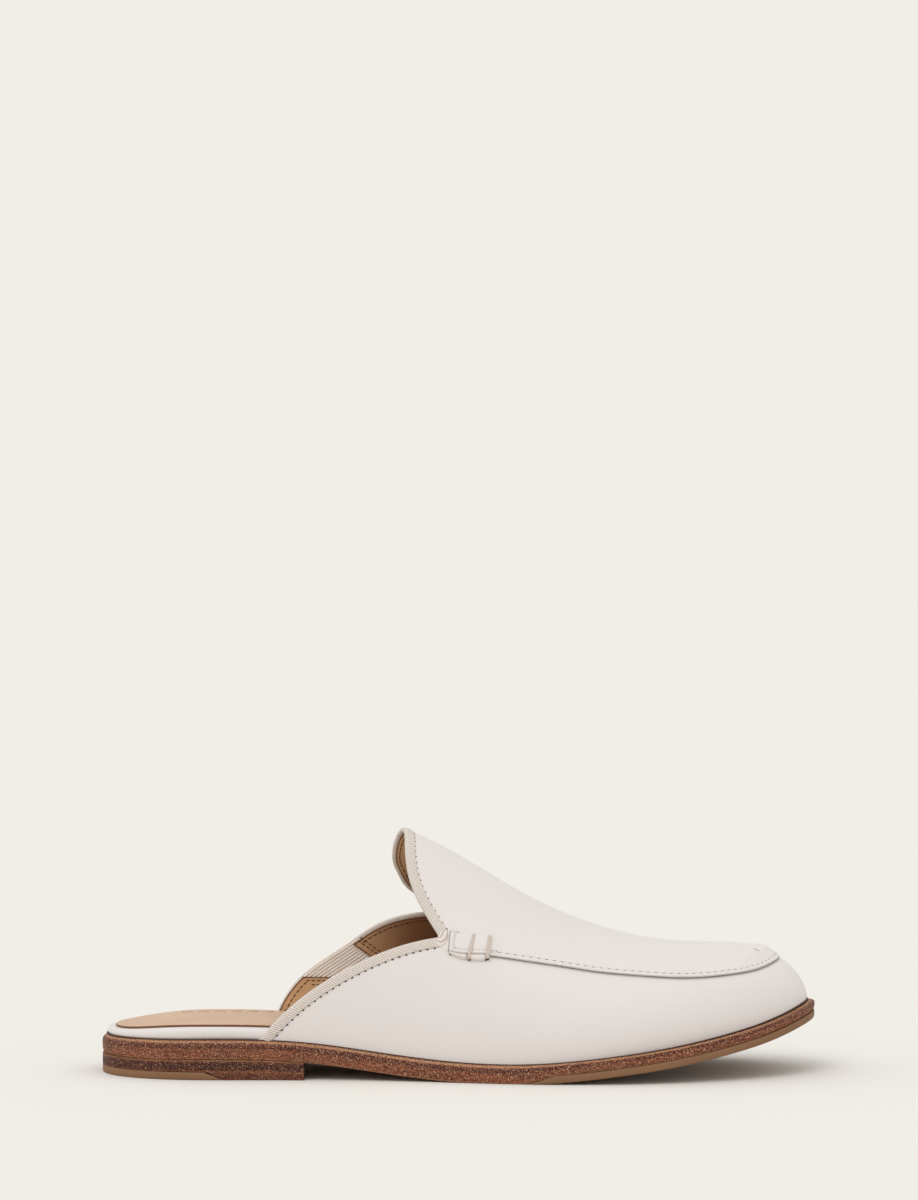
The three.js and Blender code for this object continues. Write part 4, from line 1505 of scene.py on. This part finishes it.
class MULE_OT_keepers(bpy.types.Operator):
    """A folded tab over the end of each seam, pinched by two bars of thread"""

    bl_idname = "mule.keepers"
    bl_label = "Keepers"

    def execute(self, context):
        paint = materials(context)
        pitch = context.scene.mule_sizes.apron_stitch / MM * KEEPER_PITCH
        rows, shade_dots = [], []
        for inner, side in ((False, "outer"), (True, "inner")):
            self.tab(side, inner, paint)
            self.bars(side, inner, paint)
            self.outline(side, inner, paint)

            across = np.arange(-1.4, 13.0, pitch * 0.8)
            up = np.arange(-6.6, -1.8, pitch * 0.55)
            rows += [
                seam_row(across, -GROOVE_REACH, 1.42, inner, (pitch * 0.5, 0.34, 0.3)),
                seam_row(leaned(-1.3, up), up, 1.55, inner, (0.4, pitch * 0.36, 0.3)),
            ]
            # Dots of painted shade in the stitch holes between the stitches, and in the keeper's
            # larger holes.
            shade_dots += [
                seam_row(across + pitch * 0.4, -GROOVE_REACH, 1.42, inner, (0.5, 0.4, 0.25)),
                seam_row(leaned(-1.3, up + 0.8), up + 0.8, 1.55, inner, (0.36, 0.42, 0.25)),
                *(seam_row(leaned(np.array([x]), reach), reach, 0.25, inner, (0.95, 0.7, 0.55))
                  for x, reach in KEEPER_HOLE_SHADES),
            ]
        beads("keeper_stitches", rows, paint["thread"], "thread")
        beads("keeper_hole_shades", shade_dots, paint["hole"], "thread", rings=2)
        return {"FINISHED"}

    @staticmethod
    def tab(side, inner, paint):
        """The tab above the seam, pinched by the bars and pressed along its fold, and the lip
        that rolls out below the seam."""
        low, high = KEEPER_ENDS
        x = (low + (high - low) * np.linspace(0, 1, 110))[:, None]
        top, lip = (np.interp(x, *np.array(line).T) for line in (KEEPER_TOP, KEEPER_LIP))

        reach = -0.12 + (top + 0.12) * (1 - np.cos(np.linspace(0, math.pi, 46))) / 2
        edge = np.minimum(-0.12 - reach, reach - top)
        edge = np.minimum(edge, np.minimum(x - low, 1.6 * (high - x)))
        place = leaned(x, reach)
        pinch = 0.42 * sum(
            hump(place - foot + slant * (reach - down), 0, 0.8) for foot, down, slant in BARS)
        fold = 0.42 * hump(x, low + 1.75, 0.3) + 0.1 * hump(reach, -1.45, 0.4)
        swell = 0.18 * np.sin(np.clip(-reach / 7.5, 0, 1) * math.pi)
        level = 0.35 + (1.15 + swell - pinch - fold) * domed(edge, 0.55)
        shell_piece("keeper_tab_" + side, [{
            "points": keeper_points(place, reach, level, inner),
            "values": {"back": keeper_points(place, reach, -0.1, inner)},
        }], paint["leather"], "white_leather", replaced=("keeper_" + side,))

        v = np.linspace(0, 1, 26)
        reach = -0.25 + (lip + 0.25) * v
        pinch = sum(0.9 * hump(x, foot - slant * (down - 0.4), 0.62) for foot, down, slant in BARS)
        ends = domed(np.minimum(x - low, high - x), 0.7)
        roll = np.sqrt(np.clip(1 - (2 * v - 1) ** 2, 0, 1)) ** 0.8
        shell_piece("keeper_lip_" + side, [{
            "points": keeper_points(x, reach, -0.35 + (1.75 - pinch) * roll * ends, inner),
            "values": {"back": keeper_points(x, reach, -0.7, inner)},
        }], paint["leather"], "white_leather")

    @staticmethod
    def outline(side, inner, paint):
        """Dark cord of painted shade where the tab's rear and upper edges meet the leather."""
        low, high = KEEPER_ENDS
        share = np.linspace(0, 1, 60)
        x = np.r_[low + 0 * share, low + (high - low) * share[1:]]
        above = np.interp(x[60:], *np.array(KEEPER_TOP).T)
        reach = np.r_[0.4 + (above[0] - 0.4) * share, above] - 0.06
        line = keeper_cord(leaned(x, reach) - 0.06, reach, 0.3, inner, 0.12)
        closed_piece("keeper_shade_line_" + side, [line], paint["seam"], "thread", sharp=None)

    @staticmethod
    def bars(side, inner, paint):
        """Bars of parallel threads, each a tube that dives into the leather at both ends."""
        t = np.linspace(0, 1, 34)
        grids = []
        for foot, down, slant in BARS:
            reach = down - t * (down + BAR_TOP)
            ends = domed(np.minimum(reach + BAR_TOP + 0.15, down + 0.15 - reach), 0.9)
            height = 0.1 + (1.35 + 0.12 * np.sin(t * math.pi)) * ends
            for k in range(BAR_THREADS):
                x = foot + (k - (BAR_THREADS - 1) / 2) * BAR_PITCH - slant * (reach - down)
                grids.append(keeper_cord(x, reach, height, inner, 0.2))
        closed_piece("keeper_bars_" + side, grids, paint["bar"], "thread", sharp=None)


LINING_PITCH, LINING_STITCH = 2.3, (1.7, 0.42, 0.36)
# Along each edge of the window, rows of stitches: how far out, and how much longer they run.
WINDOW_ROWS = (
    (WINDOW_FRONT, ((1.2, 0.5), (2.5, 0.2))), (WINDOW_SILL, ((1.3, -1.5), (2.9, -3.0))),
)


class MULE_OT_lining_stitches(bpy.types.Operator):
    """Brown stitch rows along the lining's edges, and pale ones outside, round the window"""

    bl_idname = "mule.lining_stitches"
    bl_label = "Lining stitches"

    def execute(self, context):
        sizes, paint = context.scene.mule_sizes, materials(context)
        depth = -(sizes.upper_leather + sizes.lining_leather) / MM - 0.02
        front = where_x(TOP, WINDOW_FRONT[0][0] + 2.0, 1)
        back = where_x(TOP, WINDOW_SILL[1][0] - 1.0, 1)
        outside, rows = [], [
            path_row(TOP, np.arange(*ends, LINING_PITCH), LINING_GAP + gap, depth, LINING_STITCH)
            for *ends, gap in ((6, front, 1.5), (back, TOP.length - 6, 1.4))
        ]
        for ends, spans in WINDOW_ROWS:
            line = Path(*side_point(*np.linspace(*ends, 60).T))
            for gap, trim in spans:
                at = np.arange(1.0, line.length + trim, LINING_PITCH * 0.85)
                rows.append(path_row(line, at, gap + 0.5, depth, (1.5, 0.42, 0.36)))
                outside.append(path_row(line, at, gap + 0.3, 0.04, (1.4, 0.36, 0.3)))
        beads("lining_stitches", rows, paint["brown_thread"], "thread")
        beads("window_stitches", outside, paint["bar"], "thread")
        return {"FINISHED"}


GAP_SHADE_RADIUS = 0.11


class MULE_OT_apron_stitches(bpy.types.Operator):
    """Row of stitches in the apron's groove with dots of painted shade in their holes, and a dark
    cord of painted shade in the gap under the apron's edge
    """

    bl_idname = "mule.apron_stitches"
    bl_label = "Apron stitches"

    def execute(self, context):
        sizes, paint = context.scene.mule_sizes, materials(context)
        pitch = sizes.apron_stitch / MM
        points = skin(SEAM.place, SEAM.around)
        half = len(SEAM.place) // 2
        begin = np.interp(13.0, points[:half, 0], SEAM.s[:half])
        at = np.arange(begin, SEAM.length - begin, pitch)
        row = path_row(SEAM, at, -GROOVE_REACH, 0.3, (pitch * 0.45, 0.4, 0.3))
        beads("apron_stitches", [row], paint["thread"], "thread")
        # Dots of painted shade in the stitch holes between the stitches.
        row = path_row(SEAM, at + pitch / 2, -GROOVE_REACH, 0.34, (pitch * 0.52, 0.34, 0.28))
        beads("apron_hole_shades", [row], paint["seam"], "thread", rings=2)

        # A thin dark cord of painted shade in the gap under the apron's edge, thinner at its ends.
        s = np.linspace(begin - 14.0, SEAM.length - begin + 14.0, 900)[:, None]
        radius = GAP_SHADE_RADIUS * (0.25 + 0.75 * domed(np.minimum(s - s[0], s[-1] - s), 12.0))
        cos, sin = ring(CORD_SIDES)
        rows = SEAM.points(s, 0.22 + radius * cos, -0.1 + radius * sin)
        swept("apron_edge_shade", rows, paint["gap"], "thread", sharp=None)
        return {"FINISHED"}


# ---------- The stage ----------
PALE = linear(241, 238, 231)
FLOOR_REACH, FLOOR_LINES = 40.0, 9
SKY_LIGHT = 0.91
SUN_LIGHT = 0.78
SUN_TURN = (math.radians(38), 0.0, math.radians(-28))
SUN_SPREAD = math.radians(34)
CAMERA_LENS, CAMERA_PLACE, CAMERA_DIP = 121.57, (0, -1.4888, 0.1828), 0.383
# What the open sky and the sun together give a level floor.
FLOOR_LIGHT = SKY_LIGHT + SUN_LIGHT * math.cos(SUN_TURN[0]) / math.pi


class MULE_OT_stage(bpy.types.Operator):
    """Wide, pale, level floor, a soft sky and sun, and the camera"""

    bl_idname = "mule.stage"
    bl_label = "Stage"

    def execute(self, context):
        scene = context.scene
        edge = np.linspace(-FLOOR_REACH, FLOOR_REACH, FLOOR_LINES)
        points = np.stack(np.broadcast_arrays(edge[:, None], edge, 0.0), -1).reshape(-1, 3)
        mesh = bpy.data.meshes.new("floor")
        mesh.from_pydata(points.tolist(), [], quads_of(len(edge), len(edge)).tolist())

        def fill(tree, position):
            return {"Base Color": tone(PALE, 1 / FLOOR_LIGHT), "Roughness": 1.0}

        mesh.materials.append(finish("Pale floor", fill, specular=0.0))
        floor = bpy.data.objects.new("floor", mesh)
        scene.collection.objects.link(floor)

        world = bpy.data.worlds.new("Soft room")
        scene.world = world
        world.use_nodes = True
        tree = world.node_tree
        sky = tree.nodes["Background"]
        camera_ray = add(tree, "ShaderNodeLightPath").outputs["Is Camera Ray"]
        colour = blend(tree, camera_ray, (SKY_LIGHT,) * 3 + (1.0,), (*PALE, 1.0))
        connect(tree, sky.inputs, {"Color": colour})

        sun = bpy.data.lights.new("Sun", "SUN")
        sun.energy, sun.angle = SUN_LIGHT, SUN_SPREAD
        lamp = bpy.data.objects.new("Sun", sun)
        lamp.rotation_euler = SUN_TURN
        scene.collection.objects.link(lamp)

        camera = bpy.data.objects.new("Camera", bpy.data.cameras.new("Camera"))
        camera.data.lens = CAMERA_LENS
        camera.data.clip_end = 1.5 * FLOOR_REACH
        camera.location = CAMERA_PLACE
        camera.rotation_euler = (math.radians(90 - CAMERA_DIP), 0, 0)
        scene.collection.objects.link(camera)
        scene.camera = camera
        scene.view_settings.view_transform = "Standard"
        return {"FINISHED"}


OPERATORS = (
    MULE_OT_stage, MULE_OT_outsole, MULE_OT_rubbers, MULE_OT_heel, MULE_OT_insole, MULE_OT_quarters,
    MULE_OT_apron, MULE_OT_elastic, MULE_OT_binding, MULE_OT_keepers, MULE_OT_apron_stitches,
    MULE_OT_lining_stitches,
)


class MULE_PT_panel(bpy.types.Panel):
    """The shoe's sizes, colours and pieces"""

    bl_idname = "MULE_PT_panel"
    bl_label = "Mule Shoe"
    bl_space_type = "VIEW_3D"
    bl_region_type = "UI"
    bl_category = "Mule Shoe"

    def draw(self, context):
        for settings in (context.scene.mule_sizes, context.scene.mule_colours):
            box = self.layout.box()
            for name in settings.__annotations__:
                box.prop(settings, name)
        for operator in OPERATORS:
            self.layout.operator(operator.bl_idname)


CLASSES = (MULE_PG_sizes, MULE_PG_colours, *OPERATORS, MULE_PT_panel)


def register():
    for item in CLASSES:
        bpy.utils.register_class(item)
    bpy.types.Scene.mule_sizes = bpy.props.PointerProperty(type=MULE_PG_sizes)
    bpy.types.Scene.mule_colours = bpy.props.PointerProperty(type=MULE_PG_colours)


def unregister():
    del bpy.types.Scene.mule_sizes, bpy.types.Scene.mule_colours
    for item in reversed(CLASSES):
        bpy.utils.unregister_class(item)


def main():
    register()
    for operator in OPERATORS:
        family, call = operator.bl_idname.split(".")
        getattr(getattr(bpy.ops, family), call)()


if __name__ == "__main__":
    main()
